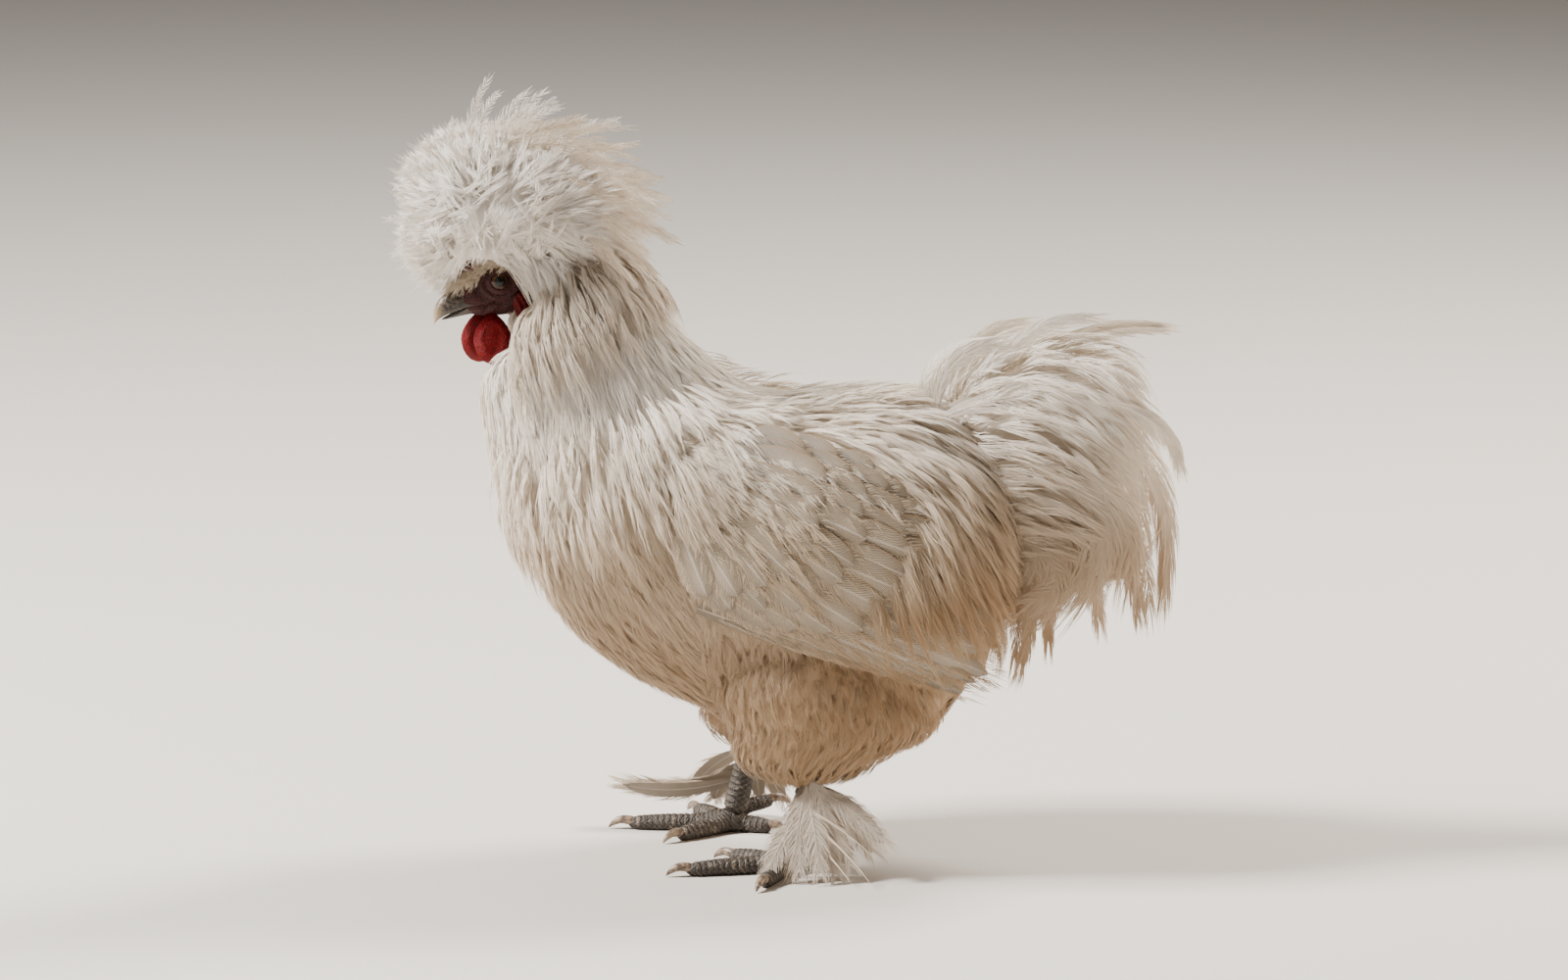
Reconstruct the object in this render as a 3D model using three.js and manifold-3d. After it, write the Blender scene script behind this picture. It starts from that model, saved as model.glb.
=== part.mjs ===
// A white silkie cock, life size, standing still. Millimetres, +Z up.
// It faces -X and its left side faces -Y. Its soles lie on Z = 0, and the
// origin is at the middle of its bounding box's foot.
import * as THREE from "three";
import { mergeVertices } from "three/addons/utils/BufferGeometryUtils.js";
import Module from "manifold-3d";

const wasm = await Module();
wasm.setup();

// Driving dimensions
const GAP = 0.3; // left between two pieces that touch
const VANE = 0.7; // thickness of a stiff feather's vane
const BACK_HEIGHT = 210; // floor to the middle of the back
const STANCE = 40; // each sole's middle from the bird's middle plane
const STRIDE = 27; // how far the right foot stands ahead of the left
const HEAD_AT = new THREE.Vector3(-124, -1, 262);
const HEAD_YAW = 15; // degrees, turned towards its left
const HEAD_PITCH = 16; // degrees, bill down
const EYE_RADIUS = 6;
const CREST_AT = new THREE.Vector3(-118, -1, 291);
const CREST_REACH = new THREE.Vector3(55, 43, 41);
const SHANK_RADIUS = 5;
const TOE_RADIUS = 4;

const TURN = 2 * Math.PI;
const radians = THREE.MathUtils.degToRad;
const clamp = THREE.MathUtils.clamp;
const mix = THREE.MathUtils.lerp;
const point = (x, y, z) => new THREE.Vector3(x, y, z);

// A smooth curve through points, read at 0 to 1 by the points' order.
function line(points) {
  const curve = new THREE.CatmullRomCurve3(
    points.map(([x, y, z = 0]) => point(x, y, z)),
    false,
    "catmullrom",
    0.5,
  );
  return (t) => curve.getPoint(clamp(t, 0, 1));
}

// A smooth run of single values, read in the same way.
function values(list) {
  const read = line(list.map((v) => [v, 0]));
  return (t) => read(t).x;
}

// A repeatable random draw, from 0 to 1.
function draw(seed) {
  let state = seed;
  return () => {
    state = (state * 1664525 + 1013904223) % 4294967296;
    return state / 4294967296;
  };
}

// Solids

// A closed three.js geometry as a solid with its faces outwards.
function solid(geometry) {
  const bare = new THREE.BufferGeometry();
  bare.setAttribute("position", geometry.getAttribute("position"));
  bare.setIndex(geometry.getIndex());
  const merged = mergeVertices(bare, 1e-4);
  const places = merged.getAttribute("position").array;
  const corners = new Uint32Array(merged.getIndex().array);
  const at = (i) => point().fromArray(places, 3 * i);
  let volume = 0;
  for (let i = 0; i < corners.length; i += 3) {
    const [a, b, c] = [at(corners[i]), at(corners[i + 1]), at(corners[i + 2])];
    volume += a.dot(b.cross(c));
  }
  if (volume < 0) {
    for (let i = 0; i < corners.length; i += 3) {
      [corners[i + 1], corners[i + 2]] = [corners[i + 2], corners[i + 1]];
    }
  }
  const mesh = new wasm.Mesh({ numProp: 3, vertProperties: places, triVerts: corners });
  return new wasm.Manifold(mesh);
}

// The outward direction of a surface at t from end to end and a round it.
function outward(surface, t, a) {
  const here = surface(t, a);
  const e = 1e-3;
  if (t < e || t > 1 - e) {
    const inner = t < e ? 0.02 : 0.98;
    const middle = surface(inner, 0).add(surface(inner, TURN / 2)).multiplyScalar(0.5);
    return here.sub(middle).normalize();
  }
  const run = surface(t + e, a).sub(surface(t - e, a));
  const round = surface(t, a + e).sub(surface(t, a - e));
  const normal = run.cross(round).normalize();
  const away = here.sub(surface(t, a + TURN / 2));
  return normal.dot(away) < 0 ? normal.negate() : normal;
}

// A closed rounded body from a surface that draws to a point at both ends.
// Grown by a few tenths, it cuts a neighbour clear of the body.
function shell(surface, rings, sides, grown = 0) {
  const geometry = new THREE.SphereGeometry(1, sides, rings);
  const grid = geometry.getAttribute("uv");
  const place = geometry.getAttribute("position");
  for (let i = 0; i < place.count; i++) {
    const t = 1 - grid.getY(i);
    const a = t > 0 && t < 1 ? TURN * grid.getX(i) : 0;
    const at = surface(t, a);
    if (grown) at.addScaledVector(outward(surface, t, a), grown);
    place.setXYZ(i, at.x, at.y, at.z);
  }
  return solid(geometry);
}

// How full a rounded body is at t: 1 along its length, 0 at its two ends.
function fullness(t, nose, tail) {
  const short = Math.max(1 - t / nose, 1 - (1 - t) / tail, 0);
  return Math.sqrt(Math.max(0, 1 - short * short));
}

// A flat section carried along points, from a closed root to a pointed tip.
// Its two broad sides are split into triangles alike.
const TENT = [[-1, -0.3], [0, 0.7], [1, -0.3]];
const RIBBON = [[-0.5, 0.5], [0.5, 0.5], [0.5, -0.5], [-0.5, -0.5]];

function blade({ points, faces, width, thick, section }) {
  const places = [];
  const corners = [];
  const last = points.length - 1;
  const n = section.length;
  for (let i = 0; i < last; i++) {
    const t = i / last;
    const ahead = points[i + 1].clone().sub(points[Math.max(i - 1, 0)]).normalize();
    const across = ahead.clone().cross(faces[i]).normalize();
    const up = across.clone().cross(ahead);
    for (const [w, h] of section) {
      const at = points[i].clone();
      at.addScaledVector(across, w * width(t)).addScaledVector(up, h * thick(t));
      places.push(...at.toArray());
    }
  }
  places.push(...points[last].toArray());
  for (let j = 1; j < n - 1; j++) corners.push(0, j + 1, j);
  for (let i = 0; i < last; i++) {
    for (let j = 0; j < n; j++) {
      const [a, b] = [n * i + j, n * i + ((j + 1) % n)];
      const [c, d] = [b + n, a + n];
      if (i === last - 1) corners.push(a, b, n * last);
      else if (j < n / 2) corners.push(a, b, c, a, c, d);
      else corners.push(a, b, d, b, c, d);
    }
  }
  const geometry = new THREE.BufferGeometry();
  geometry.setAttribute("position", new THREE.Float32BufferAttribute(places, 3));
  geometry.setIndex(corners);
  return solid(geometry);
}

// A soft lock: a low ridge, widest before its middle, thinning to its tip.
function lock(points, faces, wide, thick = 4) {
  const width = (t) => (wide / 2) * (0.5 + 2.2 * t - 2.6 * t * t);
  return blade({ points, faces, width, thick: (t) => thick * (1 - 0.6 * t), section: TENT });
}

// The middle line of a lock that leaves a core and ends at an outer surface.
// Its tip lies farther along by step, and drops by droop.
function fromCore(inner, outer, t, a, { step, reach, droop = 0 }) {
  const points = [];
  const faces = [];
  const steps = 3;
  for (let i = 0; i <= steps; i++) {
    const u = i / steps;
    const at = Math.min(t + step * u, 0.97);
    const here = inner(at, a).lerp(outer(at, a), mix(-0.12, reach, u ** 0.55));
    here.z -= droop * u * u;
    points.push(here);
    faces.push(outward(outer, at, a));
  }
  return [points, faces];
}

// A stiff feather's vane: flat, of one thickness, with a rounded tip.
function vane(points, faces, wide, thick = VANE) {
  const width = (t) => wide * (0.5 + 1.7 * t - 1.45 * t * t);
  return blade({ points, faces, width, thick: () => thick, section: RIBBON });
}

// The closed surface that holds most, of those that a join and a cut leave.
function largest(joined) {
  const bodies = joined.decompose();
  return bodies.reduce((most, b) => (b.volume() > most.volume() ? b : most));
}

function join(pieces) {
  return wasm.Manifold.union(pieces);
}

// A block over all that lies to one side of a slanted plane across the bird,
// and over half the gap on the other side of it.
function beyond(a, b, side) {
  const reach = 600;
  const along = b.clone().sub(a).normalize();
  const out = point(along.z, 0, -along.x).multiplyScalar(side);
  const middle = a.clone().add(b).multiplyScalar(0.5);
  middle.addScaledVector(out, (reach - GAP) / 2);
  const frame = new THREE.Matrix4().makeBasis(along, point(0, 1, 0), out);
  if (frame.determinant() < 0) frame.makeBasis(along, point(0, -1, 0), out);
  frame.setPosition(middle);
  return solid(new THREE.BoxGeometry(reach, reach, reach).applyMatrix4(frame));
}

// Neck and torso: one long body, drawn between a back line and a front line

const BACK = line([
  [-97, 272], [-82, 272], [-66, 262], [-45, 237], [-19, 214], [9, BACK_HEIGHT - 1],
  [35, BACK_HEIGHT], [58, BACK_HEIGHT - 1], [76, 203], [90, 187], [97, 165], [98, 146],
]);
const FRONT = line([
  [-114, 250], [-122, 234], [-136, 220], [-134, 196], [-128, 166], [-115, 134],
  [-94, 102], [-56, 76], [-3, 57], [54, 51], [81, 78], [95, 119],
]);
const HALF_WIDTH = values([17, 25, 34, 43, 51, 58, 62, 64, 62, 55, 42, 28]);
const BODY_NOSE = 0.05;
const BODY_RUMP = 0.09;
const SQUARENESS = 0.92; // under 1 makes a section fuller than an ellipse
const PARTING = 0.375; // where the neck is parted from the torso

const fuller = (v) => Math.sign(v) * Math.abs(v) ** SQUARENESS;

// A point of the body: t from the head to the rump, a from the back (0) over
// the left side (a quarter turn) to the breast (half a turn).
function body(t, a) {
  const full = fullness(t, BODY_NOSE, BODY_RUMP);
  const top = BACK(t);
  const low = FRONT(t);
  const rise = (full * fuller(Math.cos(a))) / 2;
  const side = full * HALF_WIDTH(t) * fuller(Math.sin(a));
  return point(
    (top.x + low.x) / 2 + (top.x - low.x) * rise,
    -side,
    (top.y + low.y) / 2 + (top.y - low.y) * rise,
  );
}

// Half the body's width at a place in the side view, 0 outside it.
function halfWidthAt(x, z) {
  const steps = 120;
  const off = (t) => {
    const [top, low] = [BACK(t), FRONT(t)];
    return (top.x - low.x) * (z - low.y) - (top.y - low.y) * (x - low.x);
  };
  for (let i = 1; i < steps; i++) {
    const [t0, t1] = [i / steps, (i + 1) / steps];
    const [d0, d1] = [off(t0), off(t1)];
    if (d0 * d1 > 0) continue;
    const t = t0 + ((t1 - t0) * d0) / (d0 - d1);
    const [top, low] = [BACK(t), FRONT(t)];
    const middle = point((top.x + low.x) / 2, (top.y + low.y) / 2, 0);
    const reach = top.distanceTo(low) / 2;
    const share = Math.hypot(x - middle.x, z - middle.y) / reach;
    if (share >= 1) continue;
    const sine = Math.sqrt(1 - share ** (2 / SQUARENESS));
    return HALF_WIDTH(t) * fullness(t, BODY_NOSE, BODY_RUMP) * sine;
  }
  return 0;
}

// The middle line of a lock that grows on a surface at (t, a) and runs over
// it. sag turns it from the surface's own run towards the ground, and lifts
// are its heights over the surface from root to tip.
function overSurface(surface, t, a, length, sag, lifts) {
  const points = [];
  const faces = [];
  const stride = length / (lifts.length - 1);
  const e = 1e-3;
  for (const lift of lifts) {
    const normal = outward(surface, t, a);
    points.push(surface(t, a).addScaledVector(normal, lift));
    faces.push(normal);
    const run = surface(t + e, a).sub(surface(t - e, a)).divideScalar(2 * e);
    const round = surface(t, a + e).sub(surface(t, a - e)).divideScalar(2 * e);
    const way = run.clone().normalize().multiplyScalar(1 - sag);
    way.z -= sag;
    way.addScaledVector(normal, -way.dot(normal)).normalize().multiplyScalar(stride);
    const [rr, ra, aa] = [run.dot(run), run.dot(round), round.dot(round)];
    const [wr, wa] = [way.dot(run), way.dot(round)];
    const whole = rr * aa - ra * ra;
    t = clamp(t + (wr * aa - wa * ra) / whole, 0.01, 0.985);
    a += (wa * rr - wr * ra) / whole;
  }
  return [points, faces];
}

const BODY_RINGS = 24;
const BODY_SIDES = 16;
const wholeBody = shell(body, BODY_RINGS, BODY_SIDES);
const bodyClear = shell(body, BODY_RINGS, BODY_SIDES, GAP);
const partBack = point(BACK(PARTING).x, 0, BACK(PARTING).y);
const partFront = point(FRONT(PARTING).x, 0, FRONT(PARTING).y);
const behindParting = beyond(partBack, partFront, -1);
const beforeParting = beyond(partBack, partFront, 1);

// Head, in its own frame: +X to the bill, +Y to its left, +Z up

const HEAD_RINGS = 11;
const HEAD_SIDES = 12;
const headLength = values([-23, -19, -10, 0, 8, 15, 20, 23]);
const headTop = values([5, 10, 14.5, 15.5, 13.5, 9.5, 6, 3.5]);
const headLow = values([-6, -12, -15, -15.5, -14.5, -12.5, -10, -8.5]);
const headHalf = values([7, 10.5, 13.5, 14.3, 12.8, 9.6, 6.8, 5]);

function head(t, a) {
  const full = fullness(t, 0.1, 0.06);
  const middle = (headTop(t) + headLow(t)) / 2;
  const tall = ((headTop(t) - headLow(t)) / 2) * full;
  return point(headLength(t), headHalf(t) * full * Math.sin(a), middle + tall * Math.cos(a));
}

const headFrame = new THREE.Group();
headFrame.position.copy(HEAD_AT);
headFrame.rotation.set(0, radians(HEAD_PITCH), Math.PI + radians(HEAD_YAW), "ZYX");
headFrame.updateMatrix();
const onBird = (p) => p.clone().applyMatrix4(headFrame.matrix);
const onBirdSolid = (s) => s.transform([...headFrame.matrix.elements]);

// An ellipsoid at a place, with half sizes, turned a little if need be.
function lump(at, sizes, sides = 12, rings = 8, turn = new THREE.Euler()) {
  const spin = new THREE.Quaternion().setFromEuler(turn);
  return (grown = 0) => {
    const geometry = new THREE.SphereGeometry(1, sides, rings);
    geometry.scale(sizes.x + grown, sizes.y + grown, sizes.z + grown);
    geometry.applyQuaternion(spin);
    geometry.translate(at.x, at.y, at.z);
    return solid(geometry);
  };
}

const EYE_AT = point(5, 9.6, 2.2);
const LIDS_OUT = point(0, 0.3, 0.2);
const LIDS_SIZE = point(8.2, 3.9, 6.8);

function eyeOf(side) {
  const at = EYE_AT.clone().multiply(point(1, side, 1));
  return lump(at, point(EYE_RADIUS, EYE_RADIUS, EYE_RADIUS), 10, 8);
}

// The lids: a low mound of skin that the eyeball looks out of.
function lidsOf(side, grown = 0) {
  const at = EYE_AT.clone().add(LIDS_OUT).multiply(point(1, side, 1));
  return lump(at, LIDS_SIZE, 10, 5, new THREE.Euler(0, radians(8), 0))(grown);
}

// The bill: two horn halves that meet along the mouth line.
const mouthX = values([9, 15, 21, 27, 32, 35.4, 37.2]);
const mouthZ = values([-7.2, -6.4, -6, -6.2, -6.8, -8, -9.6]);
const billTop = values([6.5, 6, 4.6, 2.8, 0.2, -3.6, -8.8]);
const billHalf = values([7, 6.6, 5.8, 4.8, 3.6, 2.2, 0.9]);
const lowerTop = values([-7.2, -6.4, -6, -6.2, -7, -7.8, -8.4]);
const lowerLow = values([-12, -11.6, -10.8, -10, -9.6, -9.2, -8.8]);
const LOWER_SHARE = 0.86; // the lower half is shorter than the upper

function upperBill(t, a) {
  const full = fullness(t, 0.03, 0.08);
  const sole = mouthZ(t) + GAP / 2;
  const tall = Math.cos(a);
  const crown = (billTop(t) - sole) * full * Math.max(tall, 0) ** 0.8;
  const wide = billHalf(t) * full * Math.sin(a);
  return point(mouthX(t), wide, sole + crown + 0.02 * Math.min(tall, 0));
}

function lowerBill(t, a) {
  const full = fullness(t, 0.03, 0.1);
  const roof = lowerTop(t) - GAP / 2;
  const depth = (roof - lowerLow(t)) * full * Math.max(-Math.cos(a), 0) ** 0.9;
  const wide = billHalf(t * LOWER_SHARE) * 0.86 * full * Math.sin(a);
  return point(mix(mouthX(0), mouthX(1), t * LOWER_SHARE), wide, roof - depth);
}

const nostril = (side) =>
  lump(point(22.5, 4.9 * side, -0.4), point(1.9, 1.1, 0.8), 6, 4)();

// The walnut comb: small bulbs in front of the crest, over the bill's root.
const COMB_BULBS = [
  [17.5, 0, 7.6, 4.2], [14, 3.2, 10, 3.9], [13.5, -3.4, 10.2, 3.9], [10, 0, 12.6, 4.4],
];

const combLumps = join(
  COMB_BULBS.map(([x, y, z, r]) => lump(point(x, y, z), point(r * 1.1, r, r * 0.8), 6, 5)()),
);
const combRoom = lump(point(13.5, 0, 9.5), point(10.4, 8, 8.2), 10, 7)();

// Wattles and ear lobes hang from the face as thick leaves of skin.
const WATTLE_AT = point(16.5, 6.2, -24.5);
const WATTLE_SIZE = point(8.4, 2.6, 12.6);
const LOBE_AT = point(-2.5, 13.2, -14);
const LOBE_SIZE = point(5, 2.4, 9.2);

function wattleOf(side) {
  const hang = new THREE.Euler(radians(7) * side, radians(-HEAD_PITCH), 0);
  const at = WATTLE_AT.clone().multiply(point(1, side, 1));
  return (grown = 0) => {
    const geometry = new THREE.SphereGeometry(1, 10, 8);
    const place = geometry.getAttribute("position");
    for (let i = 0; i < place.count; i++) {
      const z = place.getZ(i);
      const narrow = 1 - 0.34 * clamp(z, 0, 1) ** 1.5; // drawn in to its stalk
      place.setX(i, place.getX(i) * narrow);
    }
    const half = WATTLE_SIZE.clone().addScalar(grown);
    geometry.scale(half.x, half.y, half.z);
    geometry.applyQuaternion(new THREE.Quaternion().setFromEuler(hang));
    geometry.translate(at.x, at.y, at.z);
    return solid(geometry);
  };
}

function lobeOf(side) {
  const lean = new THREE.Euler(radians(-10) * side, radians(-HEAD_PITCH + 26), 0);
  return lump(LOBE_AT.clone().multiply(point(1, side, 1)), LOBE_SIZE, 10, 7, lean);
}

const headClear = shell(head, HEAD_RINGS, HEAD_SIDES, GAP);
const SIDES = [["left", 1], ["right", -1]];

function makeHead() {
  const skin = [shell(head, HEAD_RINGS, HEAD_SIDES)];
  for (const [, side] of SIDES) skin.push(lidsOf(side));
  let made = join(skin);
  for (const [, side] of SIDES) made = made.subtract(eyeOf(side)(GAP));
  const gape = new THREE.BoxGeometry(14, 40, 0.7);
  gape.rotateY(radians(-6));
  gape.translate(17, 0, -6.4);
  return largest(made.subtract(solid(gape)));
}

function makeUpperBill() {
  let made = shell(upperBill, 10, 10);
  for (const [, side] of SIDES) made = made.subtract(nostril(side));
  return largest(made.subtract(headClear));
}

const headNode = makeHead();
const upperBillNode = makeUpperBill();
const lowerBillNode = largest(shell(lowerBill, 8, 10).subtract(headClear));
const combNode = largest(combLumps.subtract(headClear).subtract(shell(upperBill, 10, 10, GAP)));

// Wattles clear the bill as well as the face.
const lowerBillClear = shell(lowerBill, 8, 10, GAP);
const wattleNodes = SIDES.map(([, side]) =>
  largest(wattleOf(side)().subtract(headClear).subtract(lowerBillClear)),
);
const lobeNodes = SIDES.map(([, side]) => largest(lobeOf(side)().subtract(headClear)));

// Crest: a globe of soft locks that fan up and back from above the bill

const CREST_SWEEP = radians(33); // the fan's axis rises this much to the back
const CREST_CORE_AT = point(-118, -1, 288);
const CREST_CORE = point(34, 26, 20);
const brow = lump(point(-150, -1, 272), point(13, 15, 13), 8, 6); // over the bill
const CREST_ROWS = [
  // where the locks' roots are from front to back, how many round, reach
  [0.07, 5, 0.98], [0.2, 7, 0.98], [0.34, 8, 1], [0.48, 8, 1.02],
  [0.62, 7, 1.1], [0.75, 5, 1.2], [0.87, 3, 1.2],
];
const CREST_STEP = 0.24; // how far back a lock's tip lies from its root
// Wisps that leave the globe at its top, back and brow.
const CREST_WISPS = [
  [-129, -6, 352], [-117, 0, 343], [-103, 4, 346], [-47, -6, 297], [-52, -12, 279], [-59, -18, 264],
];

function crestWay(t, a) {
  const [along, out] = [-Math.cos(Math.PI * t), Math.sin(Math.PI * t)];
  const [rise, run] = [Math.sin(CREST_SWEEP), Math.cos(CREST_SWEEP)];
  const up = out * Math.cos(a);
  return point(along * run - up * rise, -out * Math.sin(a), along * rise + up * run);
}

const crestOuter = (t, a) => crestWay(t, a).multiply(CREST_REACH).add(CREST_AT);
const crestInner = (t, a) => crestWay(t, a).multiply(CREST_CORE).add(CREST_CORE_AT);
const crestGlobe = lump(CREST_AT, CREST_REACH, 14, 10);

function crestWisp(tip, grown = 0) {
  const root = CREST_CORE_AT.clone().lerp(tip, 0.3);
  const bend = CREST_CORE_AT.clone().lerp(tip, 0.75).add(point(-3, 0, 3));
  const points = new THREE.QuadraticBezierCurve3(root, bend, tip).getPoints(3);
  const faces = points.map(() => point(-0.5, -1, 0.5));
  return lock(points, faces, 13 + 2 * grown, 4 + 2 * grown);
}

// The bare face is left open: the crest parts round the eyes and the bill.
const faceOpening = lump(point(8, 0, -10), point(22, 44, 16.5), 12, 8);

// The fringe hangs from the crest's brow, round the front of the head.
const FRINGE_AT = point(-133, -1, 262);
const FRINGE_COUNT = 7;

function fringeLock(share, next) {
  const turn = radians(mix(-105, 105, share));
  const way = point(-Math.cos(turn), -Math.sin(turn), 0);
  const front = Math.max(0, Math.cos(turn)); // 1 over the bill
  const high = 6 * (1 - Math.cos(turn)); // it is lowest over the bill
  const root = FRINGE_AT.clone().addScaledVector(way, 9 + 4 * front).add(point(0, 0, 19));
  const bend = FRINGE_AT.clone().addScaledVector(way, 20 + 22 * front).add(point(0, 0, 12 + high));
  const far = 22 + 5 * front + 2 * next();
  const tip = FRINGE_AT.clone().addScaledVector(way, far).add(point(0, 0, high - 6));
  const points = new THREE.QuadraticBezierCurve3(root, bend, tip).getPoints(3);
  return lock(points, points.map(() => way.clone().setZ(0.4)), 10 + 4 * front, 5);
}

function makeCrest() {
  const next = draw(7);
  const locks = [];
  CREST_ROWS.forEach(([t, count, reach], row) => {
    for (let i = 0; i < count; i++) {
      const a = (TURN * (i + 0.5 * (row % 2) + 0.3 * (next() - 0.5))) / count;
      const wide = ((TURN * 42 * Math.sin(Math.PI * (t + 0.1))) / count) * 0.74;
      const hang = { step: CREST_STEP, reach: reach - 0.03 + 0.07 * next() };
      const from = t + 0.04 * (next() - 0.5);
      const way = crestWay(from + CREST_STEP, a);
      if (way.z < -0.45 && way.x > -0.5) continue; // it would lie inside the neck
      const [points, faces] = fromCore(crestInner, crestOuter, from, a, hang);
      locks.push(lock(points, faces, wide, 7));
    }
  });
  for (let i = 0; i < FRINGE_COUNT; i++) locks.push(fringeLock(i / (FRINGE_COUNT - 1), next));
  const core = join([lump(CREST_CORE_AT, CREST_CORE, 14, 8)(), brow()]);
  const wisps = CREST_WISPS.map((tip) => crestWisp(point(...tip)));
  const face = [headClear, combRoom, shell(upperBill, 10, 10, GAP), faceOpening()];
  for (const [, side] of SIDES) face.push(lidsOf(side, GAP), lobeOf(side)(GAP), eyeOf(side)(GAP));
  const made = join([core, ...locks, ...wisps]).subtract(onBirdSolid(join(face)));
  return largest(made.subtract(bodyClear));
}

const crestNode = makeCrest();

// Neck: the front of the long body, under a cape of hackle locks

const HACKLE_ROWS = [
  // where the row's roots are, how many locks round the neck, length
  [0.1, 6, 38], [0.175, 7, 44], [0.25, 8, 48], [0.32, 10, 50],
];
const HACKLE_LIFTS = [-3, 1.2, 4, 6.4];

function hackle() {
  const next = draw(21);
  const locks = [];
  HACKLE_ROWS.forEach(([t, count, length], row) => {
    for (let i = 0; i < count; i++) {
      const a = (TURN * (i + 0.5 * (row % 2) + 0.2 * (next() - 0.5))) / count;
      const front = Math.max(0, -Math.cos(a)); // 1 at the throat
      const long = length * (0.9 + 0.2 * next()) * (1 - 0.3 * front);
      const sag = 0.7 - 0.4 * front;
      const lifts = HACKLE_LIFTS.map((lift) => lift * (1 - 0.5 * front));
      const [points, faces] = overSurface(body, t, a, long, sag, lifts);
      const round = Math.PI * (HALF_WIDTH(t) + BACK(t).distanceTo(FRONT(t)) / 2);
      locks.push(lock(points, faces, (round / count) * 0.94, 3));
    }
  });
  return join(locks);
}

// Wings: folded, lying on the body's sides

const WING_HOLD = 46; // the folded wing's inner face is at least this far out
const WING_TOP = line([
  [-50, 190], [-42, 200], [-18, 203], [20, 199], [50, 182], [74, 150], [86, 112],
]);
const WING_LOW = line([
  [-50, 176], [-45, 152], [-28, 132], [2, 121], [32, 109], [58, 96], [78, 90],
]);
const WING_CORE = 0.45; // the core's share of the folded wing's thickness

const wingDeep = (x) => clamp(mix(12, 7, (x + 40) / 110), 7, 12);

function wingHold(x, z) {
  const soft = 6;
  const over = (halfWidthAt(x, z) - WING_HOLD) / soft;
  return WING_HOLD + soft * Math.log1p(Math.exp(Math.min(over, 30)));
}

// The folded wing on one side. share is how much of its thickness is filled.
function wing(side, share) {
  return (t, a) => {
    const full = fullness(t, 0.14, 0.12);
    const [top, low] = [WING_TOP(t), WING_LOW(t)];
    const within = share < 1 ? 0.86 : 1;
    const rise = (full * within * fuller(Math.cos(a))) / 2;
    const x = (top.x + low.x) / 2 + (top.x - low.x) * rise;
    const z = (top.y + low.y) / 2 + (top.y - low.y) * rise;
    const out = fuller(Math.sin(a)) * full;
    const deep = out > 0 ? wingDeep(x) * share * out : 4 * out;
    return point(x, -side * (wingHold(x, z) + deep), z);
  };
}

// Tiers of vanes: the lines of their roots and tips in the side view, from
// the lowest feather to the highest, and their depth in the wing.
const WING_TIERS = [
  { // flight feathers
    count: 7, wide: 16, deep: [0.3, 0.62],
    roots: line([[-24, 130], [8, 136], [24, 150], [28, 172]]),
    tips: line([[20, 108], [77, 91], [88, 102], [84, 128], [70, 150], [52, 170]]),
  },
  { // greater coverts
    count: 5, wide: 18, deep: [0.3, 0.8],
    roots: line([[-36, 146], [-14, 156], [4, 170], [8, 186]]),
    tips: line([[-8, 120], [30, 120], [50, 138], [52, 162], [38, 180]]),
  },
  { // lesser coverts
    count: 4, wide: 20, deep: [0.3, 0.96],
    roots: line([[-44, 162], [-34, 176], [-22, 188], [-12, 197]]),
    tips: line([[-30, 136], [2, 138], [22, 154], [28, 174]]),
  },
];

function wingVanes(side) {
  const vanes = [];
  for (const { count, wide, deep, roots, tips } of WING_TIERS) {
    for (let i = 0; i < count; i++) {
      const share = i / (count - 1);
      const [from, to] = [roots(share), tips(share)];
      const points = [0, 0.33, 0.68, 1].map((t) => {
        const x = mix(from.x, to.x, t);
        const z = mix(from.y, to.y, t) + 10 * t * (1 - t) * share;
        const out = wingHold(x, z) + wingDeep(x) * mix(deep[0], deep[1], t ** 0.4);
        return point(x, -side * out, z);
      });
      vanes.push(vane(points, points.map(() => point(0, -side, 0.13)), wide));
    }
  }
  return vanes;
}

const WING_RINGS = 8;
const WING_SIDES = 10;
const wingClear = join(SIDES.map(([, side]) => shell(wing(side, 1), WING_RINGS, WING_SIDES, GAP)));

function makeWing(side) {
  const core = shell(wing(side, WING_CORE), WING_RINGS, WING_SIDES);
  const filled = join([core, ...wingVanes(side)]);
  return largest(filled.subtract(bodyClear));
}

const wingNodes = SIDES.map(([, side]) => makeWing(side));

// Tail: a soft cushion of vanes that arch over the rump and hang

const TAIL_TOP = line([[60, 202], [80, 236], [114, 253], [148, 248], [166, 226], [173, 196]]);
const TAIL_LOW = line([[80, 150], [100, 100], [122, 104], [148, 112], [168, 128], [174, 176]]);
const tailHalf = values([32, 44, 46, 40, 28, 15]);
const TAIL_CORE = 0.55; // the core's share of the tail's height and width
const TAIL_ROWS = [
  // where the row's roots are, how many vanes round
  [0.05, 6], [0.21, 6], [0.38, 5], [0.55, 5], [0.72, 4],
];
const TAIL_VANE = 30; // width of a vane
const PLUME_WIDE = 16;
// Plumes that leave the cushion: where each leaves, where it bends, its tip.
const TAIL_PLUMES = [
  [[66, -8, 194], [59, -8, 236], [94, -8, 236]], [[78, 8, 196], [80, 8, 238], [110, 6, 240]],
  [[88, -4, 206], [100, -4, 247], [136, -2, 245]], [[112, 4, 226], [144, 5, 240], [169, 6, 238]],
  [[130, -10, 212], [165, -12, 212], [177, -12, 182]], [[138, 4, 190], [176, 4, 186], [171.5, 2, 119]],
  [[132, -14, 172], [158, -16, 150], [160, -16, 114]], [[122, 12, 166], [140, 14, 140], [143, 14, 105]],
  [[108, -4, 166], [120, -4, 130], [119, -4, 99]], [[100, -12, 170], [112, -24, 120], [105, -26, 93]],
  [[96, 12, 170], [101, 20, 114], [91, 20, 90]],
];

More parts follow.
